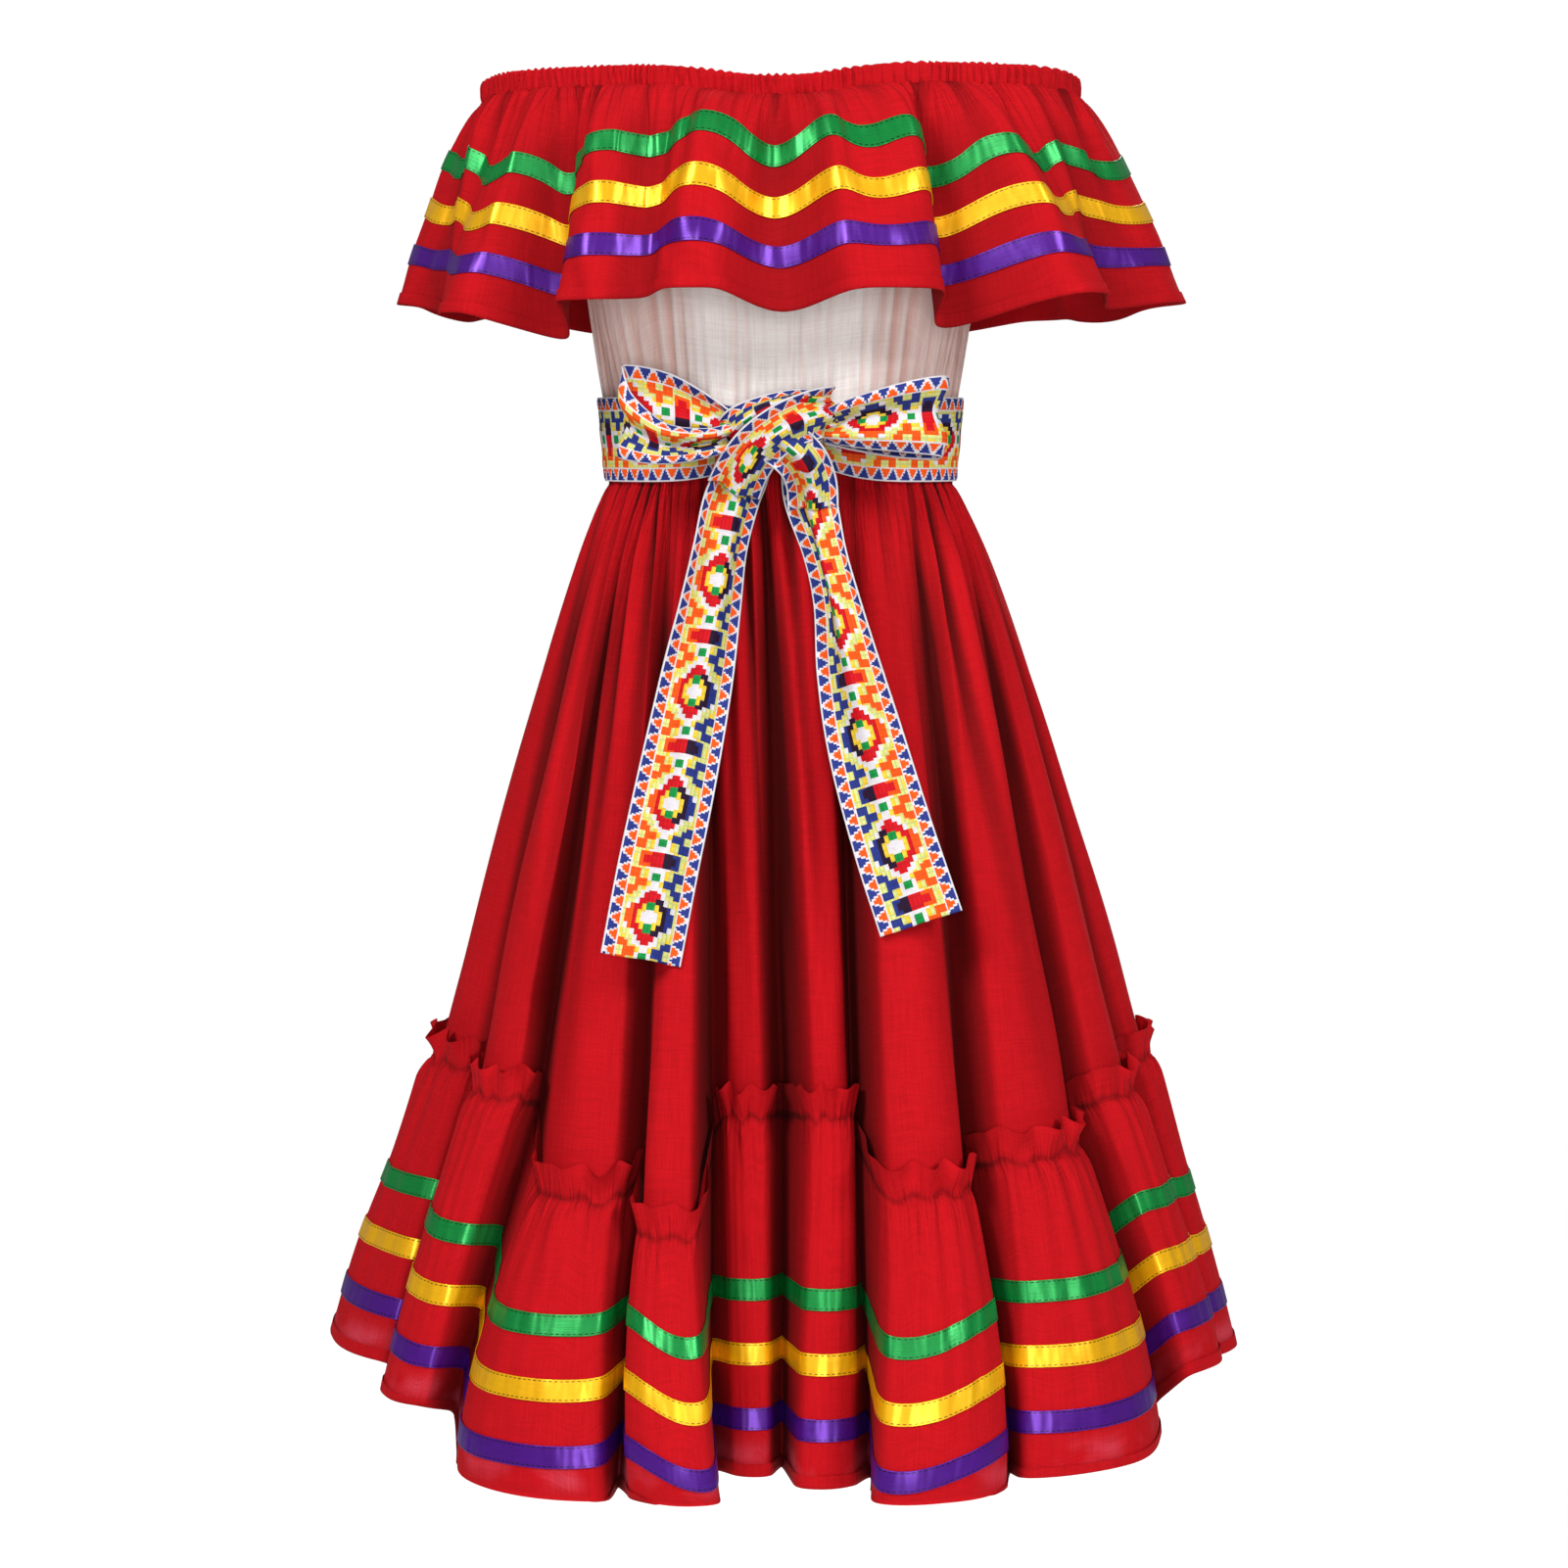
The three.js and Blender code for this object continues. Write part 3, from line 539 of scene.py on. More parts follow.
# Shoulder flounce: each column runs from the casing to the folded hem, the radius by a power of the
# share and so quicker than the height. It comes out soonest at the chest and back. Gathers start at
# the casing: fine ones soon fade, and longer ones swell the cloth out and lift it half way down.
flounce = {
    "columns": 70, "rows": 56, "sleeve": 0.8, "chest": 0.5, "chestTo": 0.6, "sleeveFrom": 0.95,
    "hemFold": 7.0, "round": 5, "bulge": 2.6, "lift": 4.6,
    "gathers": ((1.6, (126, 143, 111), 1.5, 1, 6, (-0.05, 0.05), (1, 2)),
                (3.0, (47, 59, 37), 0.4, 2, 1.8, (0, 0.18), (1, 2)),
                (1.0, (23, 31, 37, 44), 3.0, 3, 0, (0.1, 0.5), (1, 2))),
    "waveAt": (0.15, 0.6, 1.08, 1.48, 1.85, 2.22, 2.45, 2.75, 2.95, 12.15),
    "waveTurns": (-0.5, 0, 0.5, 1, 1.5, 2, 2.5, 3, 3.5, 17.5),
    "ribbons": (("green", 87), ("yellow", 58), ("purple", 30)),
    "panels": (("flounce_front", 0, 3), ("sleeve_right", 3, 6), ("flounce_back", 6, 9),
               ("sleeve_left", 9, 12)),
    "gatherReach": 22, "pleatReach": 26, "valleyShade": 0.45, "pleatShade": 0.55,
    "shadeOver": (10, 50),
}
flounceCount = len(flounceFolds["reach"])


# For each column its start angle, both ends, its length as the ribbons count it and its power
def flounceCurves(along):
    angle = startAngle(flounceFolds, along)
    top = polar(angle, neckReach(angle) - 0.4, neckHeight(angle) - neck["casing"] + 1.5)
    hem = rounded(foldRing(flounceFolds, along), flounce["round"])
    aside = np.abs(np.sin(np.radians(angle)))
    chest = 1 - smoothStep(aside, flounce["chestTo"], flounce["sleeveFrom"])
    length = mix(np.linalg.norm(hem - top, axis=1), top[:, 2] - hem[:, 2], chest)
    return angle, top, hem, length, mix(flounce["sleeve"], flounce["chest"], chest)


# The wave in which its middle hangs, from about -1 to 1: a cosine round it and a bell down it
def flounceWave(along, share):
    place = (along - flounce["waveAt"][0]) % flounceCount + flounce["waveAt"][0]
    turns = np.interp(place, flounce["waveAt"], flounce["waveTurns"])
    return np.cos(2 * math.pi * turns)[None] * 4 * share**0.7 * (1 - share) ** 1.6


# Points by share of the way down: a mix of both ends, set outwards by gathers and the wave
def flounceSurface(along, share):
    angle, top, hem, _, power = flounceCurves(along)
    points = mixPoints(top[None], hem[None], share ** power[None], share)
    share = np.clip(share, 0, 1)
    wave = flounceWave(along, share)
    gathered = gathers(flounce, along[None] / flounceCount, share) + flounce["bulge"] * wave
    return points + polar(angle[None], gathered, flounce["lift"] * wave)


# Lines of the surface at a distance above its hem
def flounceLines(along, rises):
    length = flounceCurves(along)[3]
    return flounceSurface(along, 1 - np.asarray(rises, float)[:, None] / length[None])


# A surface's grid with its hem turned to the inside: lines just inside it, back up from the edge
hemTurn = {"start": (0.2, 2.5), "inside": 0.8}


def withHem(outer, inner):
    return np.concatenate([outer, inner - gridNormals(inner, True) * hemTurn["inside"]])


def makeFlounce():
    along = np.arange(flounceCount * flounce["columns"]) / flounce["columns"]
    share = np.linspace(0, 1, flounce["rows"])[:, None] + 0 * along[None]
    outer = flounceSurface(along, share)
    grid = withHem(outer, flounceLines(along, (*hemTurn["start"], flounce["hemFold"])))
    cloth = clothMap(grid, flounce["rows"] - 1)
    down = cloth[:, :-1, 1] * 1000
    pulled = np.concatenate([share, 1 + 0 * share[:3]])
    # Painted shade for the depth mark: darker in the valleys further down, and in the pleats near
    # the casing
    pleats = (pleatDepth(flounce, along[None] / flounceCount, pulled)
              * np.exp(-down / flounce["pleatReach"]))
    fading = smoothStep(down, *flounce["shadeOver"])
    marks = {"gather": np.exp(-down / flounce["gatherReach"]),
             "depth": (flounce["valleyShade"] * valleyShare(along) * fading
                       + flounce["pleatShade"] * pleats)}
    tapes = ribbonLines(flounce, lambda rises: flounceLines(along, rises))
    addPanels(flounce, grid, cloth, marks, "red_cotton", tapes)


makeFlounce()
print("flounce made")


# Neckline casing: a flat tunnel round the elastic. Its section is a flattened loop, puckered round
# the ring, and its upper edge is finely waved. The cloth is drawn in to fullness times less.
casing = {"columns": 1008, "section": 18, "pucker": 0.8, "gathers": (168, 187, 151),
          "edge": 0.5, "edgeWaves": (151, 173), "fullness": 1.6}


def makeCasing():
    turn = np.arange(casing["columns"]) / casing["columns"]
    angle = startAngle(flounceFolds, turn * flounceCount)
    loop = 2 * math.pi * np.arange(casing["section"]) / casing["section"]
    down = (0.5 - 0.5 * np.sign(np.cos(loop)) * np.abs(np.cos(loop)) ** 0.5)[:, None]
    thick = (np.sign(np.sin(loop)) * np.abs(np.sin(loop)) ** 0.7)[:, None] * neck["wall"] / 2
    pucker = casing["pucker"] * waves(turn[None], down, casing["gathers"], 0.6, 1)
    reach = neckReach(angle)[None] - neck["wall"] / 2 - thick * (1 + 0.25 * pucker) + pucker
    edge = casing["edge"] * waves(turn[None], down, casing["edgeWaves"], 0.2, 5) * (1 - down)
    grid = polar(angle[None], reach, neckHeight(angle)[None] - neck["casing"] * down + edge)
    wide = closed(grid)
    along = runningLength(wide[:1], 1) * casing["fullness"]
    down = runningLength(np.concatenate([wide, wide[:1]]), 0)
    cloth = np.stack(np.broadcast_arrays(along, down), -1) * 0.001
    piece = gridPiece("neck_casing_tunnel", "neck_casing", "red_cotton", grid, cloth,
                      closedRound=True, closedDown=True, marks={"gather": 0.5, "depth": 0.0})


makeCasing()
print("casing made")

# Bodice: from inside the casing, cut away under each arm, to the gathered waist seam
bodice = {
    "columns": 204, "rows": 48, "folds": 12, "depth": 1.6, "spread": 1.25, "underarmZ": -74,
    "chestHalfWidth": 118, "chestHalfDepth": 80, "armFrom": 46, "armTo": 84,
    "fineGathers": (61, 73, 89), "fine": 0.75, "gather": 0.35,
    "foldShade": 0.15, "fineShade": 0.2, "sideShade": 0.9, "unshaded": 0.2,
    "panels": (("bodice_front", 0, 1), ("bodice_back", 1, 2)),
}


# Points and painted shade by share of the way down: the radius mixes from the neckline or chest to
# the waist by a power of it, less the soft folds and fine gathers, and the shade is painted darker
# on both sides and in the hollows of the folds and gathers
def bodiceSurface(angle, share):
    aside = np.minimum(np.abs(unwrap(angle, 0)), 180 - np.abs(unwrap(angle, 0)))
    cutAway = smoothStep(aside, bodice["armFrom"], bodice["armTo"])
    topZ = mix(neckHeight(angle) - neck["casing"] + 1, bodice["underarmZ"], cutAway)
    inside = neckReach(angle) - neck["wall"] - seamGap
    chest = roundedReach(angle, bodice["chestHalfWidth"], bodice["chestHalfDepth"])
    topReach = np.minimum(mix(inside, chest, cutAway), inside)
    foldShare = np.minimum(share * 2 + 0.1, 1.2 - 0.6 * share)
    hang = foldShare * (np.cos(np.radians(angle * bodice["folds"])) - 1)
    turn = angle / 360
    fine = waves(turn, share, bodice["fineGathers"], 1.2, 7) * (0.35 + share)
    reach = mix(topReach, roundedReach(angle, waist["halfWidth"], waist["halfDepth"]),
                share ** bodice["spread"])
    swell = bodice["depth"] * hang + bodice["fine"] * (fine - 1)
    points = polar(angle, reach + swell, mix(topZ, waist["seamZ"] + seamGap, share))
    # Painted shade, darker on both sides and in the hollows of the folds and fine gathers
    side = smoothStep(np.abs(np.sin(np.radians(angle))), 0.3, 0.95)
    shade = (bodice["sideShade"] * side - bodice["foldShade"] * hang - bodice["fineShade"] * fine
             - bodice["unshaded"])
    return points, np.clip(shade, 0, 1)


def makeBodice():
    count = bodice["columns"] * len(bodice["panels"])
    angle = -90 + 360 * np.arange(count) / count
    share = np.linspace(0, 1, bodice["rows"])[:, None]
    outer, shade = bodiceSurface(angle[None], share)
    inner, innerShade = bodiceSurface(angle[None], np.array([[0.06], [0.03], [0.002]]))
    inside = gridNormals(inner[::-1], True)[::-1] * hemTurn["inside"]
    grid = np.concatenate([inner - inside, outer])
    cloth = clothMap(grid, len(inner))
    shade = np.concatenate([innerShade, shade])
    marks = {"depth": shade, "gather": bodice["gather"]}
    addPanels(bodice, grid, cloth, marks, "white_cotton", seen=outer)


makeBodice()
print("bodice made")

# Skirt: gathered on the waist, straight under the sash, then each column runs to the folded seam
skirt = {
    "columns": 60, "rows": 44, "spread": 0.8, "startZ": waist["sashBottomZ"] - 2,
    "gathers": ((1.2, (113, 127, 139), 1.5, 11, 14, (-1, 0), (1, 2)),
                (3.8, (41, 47, 53), 1.2, 12, 2.2, (-0.04, 0.14), (1, 2)),
                (0.9, (29, 37, 43, 51), 2.0, 13, 0, (0.15, 0.5), (0.8, 1))),
    "gather": 0.8, "gatherReach": 35, "pleatShade": 0.85, "headRows": 3, "underSash": 22,
    "shadeOver": (10, 110),
    "panels": (("skirt_front", 0, 10), ("skirt_back", 10, 16)),
}
foldCount = len(seamFolds["reach"])


# Points by share of the way down: the waist mixed to the folded seam, set outwards by gathers
def skirtSurface(along, share):
    angle = startAngle(seamFolds, along)[None]
    start = polar(angle, roundedReach(angle, waist["halfWidth"], waist["halfDepth"]),
                  skirt["startZ"])
    end = rounded(foldRing(seamFolds, along), 2)[None]
    points = mixPoints(start, end, share ** skirt["spread"], share)
    return points + polar(angle, gathers(skirt, along[None] / foldCount, share), 0)


def makeSkirt():
    along = np.arange(foldCount * skirt["columns"]) / skirt["columns"]
    share = np.linspace(0, 1, skirt["rows"])[:, None] ** 1.25 + 0 * along[None]
    hanging = skirtSurface(along, share)
    under = np.repeat(hanging[:1], skirt["headRows"], 0)
    under[..., 2] = np.linspace(waist["seamZ"], skirt["startZ"] + 6, skirt["headRows"])[:, None]
    grid = np.concatenate([under, hanging])
    cloth = clothMap(grid, len(grid) - 1)
    down = cloth[:, :-1, 1] * 1000 - skirt["underSash"]
    pulled = np.concatenate([0 * share[:skirt["headRows"]], share])
    # Painted shade for the depth mark: darker in the valleys below the sash, and in the pleats near
    # the waist
    pleats = pleatDepth(skirt, along[None] / foldCount, pulled) * (1 - pulled) ** 1.5
    marks = {"gather": skirt["gather"] * np.exp(-np.maximum(down, 0) / skirt["gatherReach"]),
             "depth": (valleyShare(along) * smoothStep(down, *skirt["shadeOver"])
                       + skirt["pleatShade"] * pleats)}
    addPanels(skirt, grid, cloth, marks, "red_cotton")


makeSkirt()
print("skirt made")

# Lower tier: shirred onto the skirt's edge. Above the shirring a frilled heading stands up and
# opens on the ridges, and below it the cloth puffs out and hangs to the hem.
tier = {
    "columns": 70, "headingRows": 12, "rows": 60, "heading": 18.0, "flare": 6.0, "wave": 3.2,
    "frill": (97, 113, 127), "edgeGathers": (61, 77, 89), "edge": 1.2, "dip": 1.9, "clear": 2.6,
    "shirrWave": 0.8, "shirrGathers": (197, 211, 179), "shirrFade": 7, "shoulder": 3.5,
    "shoulderRise": 5, "shoulderFade": 55, "long": 2.2, "longGathers": (83, 95, 71),
    "longOver": (0, 12), "fade": 30.0, "ripple": 1.0, "rippleGathers": (41, 53, 67, 31),
    "rippleOver": (20, 90), "length": 150, "valleyPuff": 2.0, "gatherReach": 16,
    "hemFold": 7.0, "sheerAt": 11.0, "sheerSpread": 6.0, "valleyShade": 0.85, "seamShade": 0.5,
    "ribbons": (("green", 101), ("yellow", 66), ("purple", 31)),
    "panels": (("tier_front", 0, 10), ("tier_back", 10, 16)),
}


# How wide each column's ridge is, up to 1 for a broad one, to keep its ripples in scale
def narrowness(along):
    width = np.radians(seamFolds["end"] - seamFolds["start"]) * seamFolds["reach"]
    return rounded(np.clip(width[ridgeAt(seamFolds, along)] / 62, 0.3, 1), 6)


# The shirred line and the direction out of it, and how far the heading opens along it
def shirrLine(along):
    rings = skirtSurface(along, np.array([[0.95], [1.0]]) + 0 * along[None])
    outwards = rounded(gridNormals(rings, True), 2, axis=1)
    outwards /= np.linalg.norm(outwards, axis=2, keepdims=True)
    opening = 1 - valleyShare(along)
    narrow = narrowness(along)
    turn = along / foldCount
    pucker = narrow * tier["shirrWave"] * waves(turn, 0, tier["shirrGathers"], 0, 21) * opening
    line = rings[1] + outwards[1] * (tier["clear"] + pucker)[:, None]
    return rings, outwards, opening, line


# Heading: height by the share of the way up, set off from the skirt by a power of it and waved
def headingSurface(along):
    rings, outwards, opening, line = shirrLine(along)
    up = np.linspace(1, 0, tier["headingRows"], endpoint=False)[:, None]
    turn = along[None] / foldCount
    wave = waves(turn, up, tier["frill"], 0.25, 22)
    pucker = tier["shirrWave"] * waves(turn, 0, tier["shirrGathers"], 0, 21) * (1 - up) ** 2
    flare = opening * ((tier["flare"] + tier["wave"] * wave * narrowness(along)) * up**1.2
                       + pucker)
    base = mix(rings[1][None], rings[0][None], up[..., None])
    points = base + mix(outwards[1][None], outwards[0][None], up[..., None]) * (
        tier["clear"] + flare)[..., None]
    edge = ((tier["edge"] * waves(turn, up, tier["edgeGathers"], 0, 23) - tier["dip"] * wave)
            * up**2 * opening)
    points[..., 2] = line[None, :, 2] + tier["heading"] * up + edge
    return points


# Below the shirring each column is a cubic curve from the line to the hem, swollen outwards, and
# sampled densely. left is how much of its length still lies below each sample.
def tierCurves(along):
    _, _, opening, line = shirrLine(along)
    hem = rounded(foldRing(hemFolds, along), 3)
    outwards = hem * (1, 1, 0)
    outwards /= np.linalg.norm(outwards, axis=1, keepdims=True)
    ridge = ridgeAt(hemFolds, along)
    puff = mix(tier["valleyPuff"], hemFolds["puff"][ridge], opening)[:, None]
    upper = mix(line, hem, 0.3) + outwards * puff
    lower = mix(line, hem, 0.8) + outwards * puff
    t = np.linspace(0, 1, 90)[:, None, None]
    curve = ((1 - t) ** 3 * line + 3 * t * (1 - t) ** 2 * upper
             + 3 * t**2 * (1 - t) * lower + t**3 * hem)
    length = runningLength(curve, 0)
    across = smoothStep(along % 1, fold["flank"], 1 - fold["flank"])
    under = mix(hemFolds["underLeft"][ridge], hemFolds["underRight"][ridge], across) * opening
    return curve, length[-1] - length, rounded(under, 4), opening, outwards


# Lines at a distance above the hem, or at shares of the way down where rises is None
def tierLines(along, shares=None, rises=None):
    curve, left, under, opening, outwards = tierCurves(along)
    turn = along / foldCount
    narrow = narrowness(along)
    columns = np.arange(len(along))
    lines = []
    for i in range(len(shares if rises is None else rises)):
        wanted = left[0] * (1 - shares[i]) if rises is None else np.clip(rises[i] - under, 0, None)
        below = np.clip((left > wanted).sum(0) - 1, 0, len(curve) - 2)
        high = left[below, columns]
        low = left[below + 1, columns]
        part = np.clip((high - wanted) / np.maximum(high - low, 1e-6), 0, 1)[:, None]
        points = mix(curve[below, columns], curve[below + 1, columns], part)
        fallen = left[0] - wanted
        down = fallen / tier["length"]
        ripples = (
            tier["shoulder"] * (1 - np.exp(-fallen / tier["shoulderRise"]))
            * np.exp(-fallen / tier["shoulderFade"])
            + narrow * tier["shirrWave"] * waves(turn, down, tier["shirrGathers"], 0.3, 21)
            * np.exp(-fallen / tier["shirrFade"]) * (fallen > 0.01)
            + narrow * tier["long"] * waves(turn, down, tier["longGathers"], 0.8, 25)
            * smoothStep(fallen, *tier["longOver"]) * np.exp(-fallen / tier["fade"])
            + narrow**2 * tier["ripple"] * waves(turn, down, tier["rippleGathers"], 1.5, 26)
            * smoothStep(fallen, *tier["rippleOver"])) * opening
        lines.append(points + outwards * ripples[:, None])
    return np.stack(lines)


def makeTier():
    along = np.arange(foldCount * tier["columns"]) / tier["columns"]
    body = tierLines(along, shares=np.linspace(0, 1, tier["rows"]) ** 1.1)
    inner = tierLines(along, rises=(*hemTurn["start"], tier["hemFold"]))
    grid = withHem(np.concatenate([headingSurface(along), body]), inner)
    hemRow = tier["headingRows"] + tier["rows"] - 1
    cloth = clothMap(grid, hemRow)
    fromShirring = cloth[:, :-1, 1] * 1000 - tier["heading"]
    rise = (cloth[hemRow] - cloth)[:, :-1, 1] * 1000
    pulled = np.exp(-(np.abs(fromShirring) / tier["gatherReach"]) ** 1.2)
    # The depth mark is painted shade: darker in the valleys and along the shirring line
    marks = {"gather": pulled * (1 - valleyShare(along)),
             "sheer": np.exp(-((rise - tier["sheerAt"]) / tier["sheerSpread"]) ** 2),
             "depth": (tier["valleyShade"] * valleyShare(along)
                       + tier["seamShade"] * np.exp(-(fromShirring / 2) ** 2))}
    tapes = ribbonLines(tier, lambda rises: tierLines(along, rises=rises))
    addPanels(tier, grid, cloth, marks, "red_cotton", tapes)


makeTier()
print("tier made")

# Sash: a jacquard trim with stepped diamonds between flowers and toothed edges
sash = {
    "width": 48.0, "repeat": 64.0, "edge": 1.2, "tooth": 64 / 14, "toothDepth": 6.0, "cell": 1.6,
    "bundle": 2.4, "gap": 0.24, "gapShade": 0.8, "outline": 0.6, "bare": 0.9,
    "toothRoot": 0.84, "toothTip": 0.18, "wall": 0.9, "relief": 0.35, "rows": 60, "step": 0.8,
}
# The chart: half a repeat, from the middle of a diamond to the middle of a bar, one letter for each
# cell across the middle of the strip. The other half mirrors it.
chart = (
    "loorywwwwydnnl", "loorywwwwydnnl", "looryywwyydnnl", "lworryggyddnwl",
    "lworryggyddnwl", "yllwrrggddwlly", "yllwrrrrddwlly", "lyllwrrrrwllyl",
    "oollwrrrrwllnn", "ooolwwrrwwlnnn", "ooolywwwwylnnn", "lloooywwynnnll",
    "lloooywwynnnll", "llooowggwnnnll", "ooolywggwylnnn", "ooolywggwylnnn",
    "ooolywwwwylnnn", "lllywwwwwwylll", "llooorrrddnnll", "ylorrrrrdddnly",
    "ylorrrrrdddnly",
)
yarns = {name: linearColour(value)[:3] for name, value in {
    "w": "#C9C5C9", "o": "#E24E08", "n": "#222F78", "y": "#DDBB32", "g": "#08823A",
    "r": "#BE0414", "d": "#200A28", "l": "#C6C878"}.items()}
chartColours = np.array([[yarns[letter] for letter in row] for row in chart])
chartWidth = len(chart[0])


# Colours of the woven figure at places along and across the strip, in millimetres: the chart in
# the middle, and along both edges teeth on either side of a zigzag
def wovenFigure(along, across):
    along, across = np.broadcast_arrays(along, across)
    place = np.abs((along + sash["repeat"] / 2) % sash["repeat"] - sash["repeat"] / 2)
    row = np.clip(np.round(place / sash["cell"]).astype(int), 0, len(chart) - 1)
    column = np.floor(across / sash["bundle"]).astype(int) + chartWidth // 2
    colours = chartColours[row, np.clip(column, 0, chartWidth - 1)]
    nearest = np.minimum(place / (2 * sash["cell"]) % 1, across / sash["bundle"] % 1)
    plain = np.all(colours == yarns["w"], axis=-1)
    # Painted shade in the gaps between the coloured bundles of floats
    colours[(nearest < sash["gap"]) & ~plain] *= sash["gapShade"]
    depth = sash["width"] / 2 - np.abs(across) - sash["edge"]
    colours[depth < sash["toothDepth"] + sash["outline"]] = yarns["w"]
    inTooth = np.abs((along + np.sign(across) * sash["tooth"] / 2) % (2 * sash["tooth"])
                     - sash["tooth"])
    zigzag = sash["tooth"] * mix(sash["toothRoot"], sash["toothTip"], depth / sash["toothDepth"])
    isTooth = (depth > 0) & (depth < sash["toothDepth"])
    colours[isTooth & (inTooth < zigzag - sash["outline"])] = yarns["n"]
    isBetween = inTooth > zigzag + sash["outline"]
    colours[isTooth & isBetween & (depth > sash["bare"])] = yarns["o"]
    return colours


# Halfway between each line and the next
def midway(lines):
    return (lines[1:] + lines[:-1]) / 2


# A woven strip from a grid with its lines along it and its columns across it, or the other way
# round for the band. Coloured yarns stand a little proud of the white ground.
def addSash(name, grid, alongAt, acrossAt, node, ring=False):
    alongPoints = alongAt[:, :grid.shape[1]]
    ground = wovenFigure(alongPoints, acrossAt)
    plain = np.all(np.abs(ground - yarns["w"]) < 1e-6, axis=2)
    raised = grid + gridNormals(grid, ring) * np.where(plain, 0, sash["relief"])[..., None]
    if ring:
        middles = midway(alongAt.T).T, midway(acrossAt)
    else:
        middles = midway(alongAt), midway(acrossAt.T).T
    cloth = np.stack(np.broadcast_arrays(alongAt, acrossAt), -1) * 0.001
    piece = gridPiece(f"{name}_trim", node, "woven_sash", raised, cloth, closedRound=ring,
                      faceColours=wovenFigure(*middles))
    if not ring:  # the band lies on the dress, and both faces of the other strips show
        solid = piece.modifiers.new("thickness", "SOLIDIFY")
        solid.thickness = sash["wall"] * 0.001
        solid.offset = -1
    return piece


# Band round the waist, drawn together towards the knot: heights closer by a bell round the front
band = {"clear": 3.2, "flare": 4.0, "pullDown": -9.8, "pullUp": 14.0, "spread": 24.0,
        "columns": 704, "crease": 0.7}


def makeBand():
    angle = 360 * np.arange(band["columns"]) / band["columns"]
    down = np.linspace(0, 1, sash["rows"] + 1)[:, None]
    near = np.exp(-((unwrap(angle, 0) / band["spread"]) ** 2))
    top = waist["sashTopZ"] + band["pullDown"] * near
    bottom = waist["sashBottomZ"] + band["pullUp"] * near
    slant = 0.2 * np.sin(np.radians(3 * angle))
    crease = (band["crease"] * np.sin(2 * math.pi * (2.5 * down + slant)) * (0.25 + 1.6 * near))
    reach = (roundedReach(angle, waist["halfWidth"], waist["halfDepth"]) + band["clear"]
             + band["flare"] * (1 - down) + crease)
    grid = polar(angle[None], reach, mix(top[None], bottom[None], down))
    length = runningLength(closed(grid)[:1], 1)
    length *= round(length[0, -1] / sash["repeat"]) * sash["repeat"] / length[0, -1]
    piece = addSash("sash_band", grid, length + sash["repeat"] / 3, (0.5 - down) * sash["width"],
                    "sash_band", ring=True)


# A smooth curve through the rows of a table: cubic pieces whose slope at a row is that of the chord
# between its neighbours
def smoothRows(values, count):
    steps = np.linspace(0, len(values) - 1, count)
    low = np.clip(np.floor(steps).astype(int), 0, len(values) - 2)
    part = (steps - low)[:, None]
    slope = np.gradient(values, axis=0)
    first, second = values[low], values[low + 1]
    return ((2 * part**3 - 3 * part**2 + 1) * first + (part**3 - 2 * part**2 + part) * slope[low]
            + (3 * part**2 - 2 * part**3) * second + (part**3 - part**2) * slope[low + 1])


# The sash's two ends: middle, width seen and turn of the strip about its length
tails = {
    "sash_tail_left": (
        (-9.8, 86.2, -202, 17, 0), (-20, 89, -221, 28, -6), (-27, 97, -236, 32, -14),
        (-33, 100, -262, 34, -24), (-39, 101.4, -296, 36, -14), (-47, 110.1, -338, 40, 0),
        (-57, 126, -388, 43, 4), (-67, 137.5, -436, 44, 0), (-76, 151.5, -484, 44, -4)),
    "sash_tail_right": (
        (9.8, 86.2, -202, 17, 0), (13.5, 90, -224, 25, 8), (17, 97, -238, 28, 20),
        (24, 101, -264, 26, 38), (31, 104.9, -292, 28, 36), (38, 114, -330, 36, 18),
        (48, 122.9, -372, 43, 6), (62, 133.7, -420, 46, 0), (77, 145.4, -465, 47, 0)),
}
tail = {"pleats": 1.5, "mostPleat": 4.0, "camber": 1.2, "lift": 2.5,
        "figure": {"sash_tail_left": (-21, 1), "sash_tail_right": (21, -1)}}


# A strip swept through sections: across each, the points are spread over the width seen, and where
# that is less than the cloth's own width the rest goes into pleats whose height fits its length
def sweptStrip(middles, acrosses, widths, columns):
    share = np.linspace(-0.5, 0.5, columns)[:, None]
    alongDirection = np.gradient(middles, axis=0)
    facing = np.cross(alongDirection, acrosses)
    facing /= np.linalg.norm(facing, axis=1, keepdims=True)
    slack = np.sqrt(np.maximum(sash["width"] / widths - 1, 0))
    pleat = np.minimum(0.32 * widths * slack / tail["pleats"], tail["mostPleat"])
    wave = (pleat[None] * np.sin(2 * math.pi * (tail["pleats"] * share + 0.15))
            + tail["camber"] * (1 - (2 * share) ** 2))
    return (middles[None] + acrosses[None] * (share * widths)[..., None]
            + facing[None] * wave[..., None])


# The fine rows of a path's table, their middle points, and the path's length
def sweptPath(table):
    rows = np.array(table, float)
    rough = smoothRows(rows, 200)[:, :3] * (1, -1, 1)
    length = runningLength(rough[None], 1)[0, -1]
    fine = smoothRows(rows, int(length / sash["step"]) + 1)
    return fine, fine[:, :3] * (1, -1, 1), length


# Directions across a strip that runs down the front, turned about its length by its rows' angle
def acrossPath(fine, middles):
    path = np.gradient(middles, axis=0) * (1, 0, 1)
    path /= np.linalg.norm(path, axis=1, keepdims=True)
    flat = np.stack([-path[:, 2], 0 * path[:, 0], path[:, 0]], 1)
    turn = np.radians(fine[:, 4])[:, None]
    return flat * np.cos(turn) + np.cross(path, flat) * np.sin(turn)


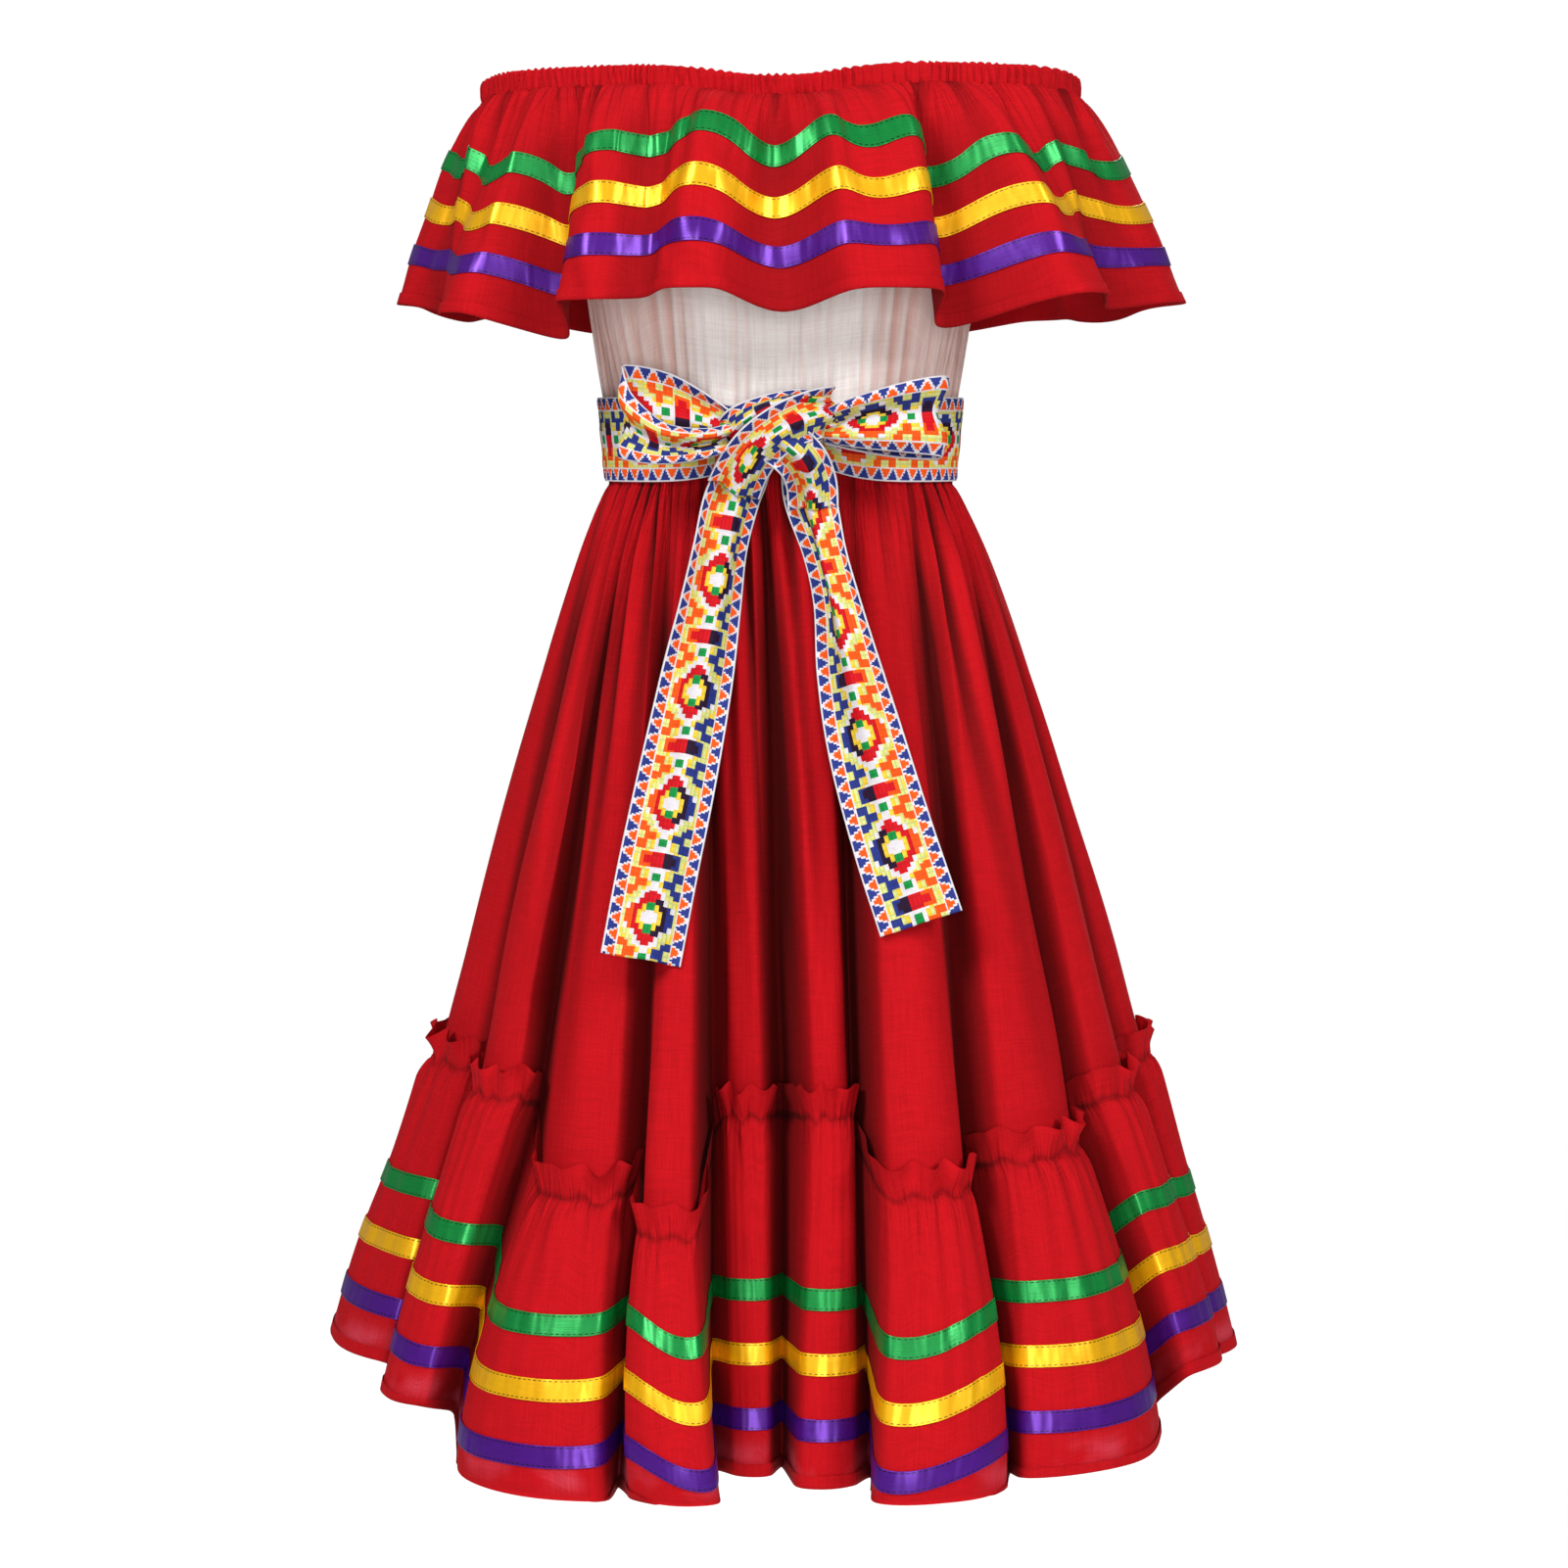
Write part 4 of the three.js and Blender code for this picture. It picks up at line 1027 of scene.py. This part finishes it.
def addStrip(name, node, path, acrosses, figure):
    fine, middles, length = path
    start, side = figure
    grid = np.swapaxes(sweptStrip(middles, acrosses, fine[:, 3], sash["rows"] + 1), 0, 1)
    across = side * np.linspace(-0.5, 0.5, sash["rows"] + 1) * sash["width"]
    along = runningLength(middles[None], 1)[0] + start
    piece = addSash(name, grid, along[:, None], across[None], node)


def makeTails():
    for name, rows in tails.items():
        fine, middles, length = sweptPath(rows)
        middles[:, 1] -= tail["lift"] * smoothStep(-fine[:, 2], 262, 296)
        addStrip(name, name, (fine, middles, length), acrossPath(fine, middles),
                 tail["figure"][name])


# The bow's loops, from the knot out along the back layer, round the turn and back in front: the
# side that they lie on, where the figure starts, and rows of middle and width seen
loops = {
    "sash_loop_left": (1, 0, (
        (-24, 98.4, -196, 14), (-41, 93.5, -191.5, 29), (-62, 94, -187, 43), (-82, 97, -185, 48),
        (-87, 103, -187, 47), (-83, 110, -195, 36), (-64, 116, -204, 22), (-41, 110, -204, 15),
        (-24, 101.5, -199, 12))),
    "sash_loop_right": (-1, 12, (
        (24, 98.4, -196, 16), (42, 92.5, -193.5, 29), (66, 92, -192, 40), (84, 95, -191, 44),
        (90, 101, -190, 44), (85, 109, -189, 43), (66, 112, -190, 37), (42, 109, -192.5, 27),
        (24, 101.5, -195, 16))),
}


def makeLoops():
    for name, (side, start, rows) in loops.items():
        path = sweptPath(rows)
        acrosses = np.array([[0, 0, -side]]) + 0 * path[1]
        addStrip(name, name, path, acrosses, (start, 1))


# Knot: a core, and round it the strip in three turns. The one in front comes down from the right
# loop into the left tail, one lies over the top, and the low one runs into the right tail. Rows as
# for a tail.
knot = {"depth": 97, "z": -199, "halfLength": 24, "halfHeight": 17, "halfDepth": 11, "sides": 100,
        "length": 112}
turns = {
    "sash_knot_front": (
        (31, 95, -186, 26, 0), (20, 108, -188, 26, 4), (4, 114.5, -194, 25, 8),
        (-10, 113, -204, 26, 8), (-20, 107, -217, 28, 2), (-26, 101, -230, 30, -6)),
    "sash_knot_top": (
        (-27, 92, -203, 22, 0), (-22, 104, -195, 22, 0), (-8, 108, -187, 20, -14),
        (8, 106, -182, 18, -22), (22, 98, -182, 16, -20)),
    "sash_knot_low": (
        (-12, 104, -199, 24, 0), (2, 112, -205, 26, 6), (12, 110, -214, 27, 10),
        (17, 102.5, -226, 27, 10), (18, 99.5, -240, 27, 18)),
}


def makeKnot():
    along = np.linspace(-0.985, 0.985, sash["rows"] + 1)[:, None]
    around = (2 * math.pi * np.arange(knot["sides"]) / knot["sides"])[None]
    barrel = (1 - np.abs(along) ** 2.6) ** 0.5
    grid = np.stack(np.broadcast_arrays(
        knot["halfLength"] * along,
        -knot["depth"] - knot["halfDepth"] * barrel * np.cos(around),
        knot["z"] + knot["halfHeight"] * barrel * np.sin(around)), -1)[::-1]
    alongAt = np.linspace(0, knot["length"], knot["sides"] + 1)[None] + 20
    addSash("sash_knot_core", grid, alongAt, along * sash["width"] / 2, "sash_knot", ring=True)
    for name, rows in turns.items():
        path = sweptPath(rows)
        addStrip(name, "sash_knot", path, acrossPath(*path[:2]), (0, 1))


makeBand()
makeTails()
makeLoops()
makeKnot()
print("sash made")

# Studio: a pale floor that fades into the white round it, and large soft lights from above
studio = {"floorZ": -1.08, "halfSize": 3.0, "fadeFrom": 0.7, "fadeTo": 2.4, "ambient": 0.2}
lights = (
    ("key", (-1.7, -1.9, 1.6), (0, 0, -0.3), 1.0, 80),
    ("fill", (1.8, -1.8, 1.2), (0, 0, -0.3), 1.0, 58),
    ("front", (0.1, -2.8, -0.2), (0, 0, -0.3), 1.0, 38),
    ("back", (0.4, 2.4, 1.6), (0, 0, -0.4), 1.6, 70),
)


def makeStudio():
    corners = [(x * studio["halfSize"], y * studio["halfSize"], studio["floorZ"])
               for x, y in ((-1, -1), (1, -1), (1, 1), (-1, 1))]
    mesh = bpy.data.meshes.new("floor")
    mesh.from_pydata(corners, [], [(0, 1, 2, 3)])
    paper, tree, shader, _ = newMaterial("pale matt paper", {
        "Base Color": linearColour("#FBFBFB"), "Roughness": 0.95})
    coords = addNode(tree, "TexCoord")
    reach = addNode(tree, "VectorMath", {"operation": "LENGTH"}, {0: (coords, "Object")})
    fade = addNode(tree, "MapRange", {
        "interpolation_type": "SMOOTHSTEP", "From Min": studio["fadeFrom"],
        "From Max": studio["fadeTo"], "To Min": 1.0, "To Max": 0.0}, {"Value": (reach, "Value")})
    tree.links.new(fade.outputs[0], shader.inputs["Alpha"])
    mesh.materials.append(paper)
    addObject("floor", mesh)
    for name, place, aim, size, power in lights:
        lamp = bpy.data.lights.new(name, "AREA")
        lamp.size = size
        lamp.energy = power
        away = np.subtract(place, aim)
        tilt = math.acos(away[2] / np.linalg.norm(away))
        addObject(name, lamp, place, (tilt, 0, math.atan2(away[0], -away[1])))
    world = bpy.data.worlds.new("soft studio")
    world.use_nodes = True
    tree = world.node_tree
    seen = addNode(tree, "LightPath")
    level = addNode(tree, "MapRange", {"To Min": studio["ambient"], "To Max": 1.0},
                    {"Value": (seen, "Is Camera Ray")})
    background = tree.nodes["Background"]
    background.inputs["Color"].default_value = linearColour("#FFFFFF")
    tree.links.new(level.outputs[0], background.inputs["Strength"])
    bpy.context.scene.world = world


makeStudio()
print("studio made")
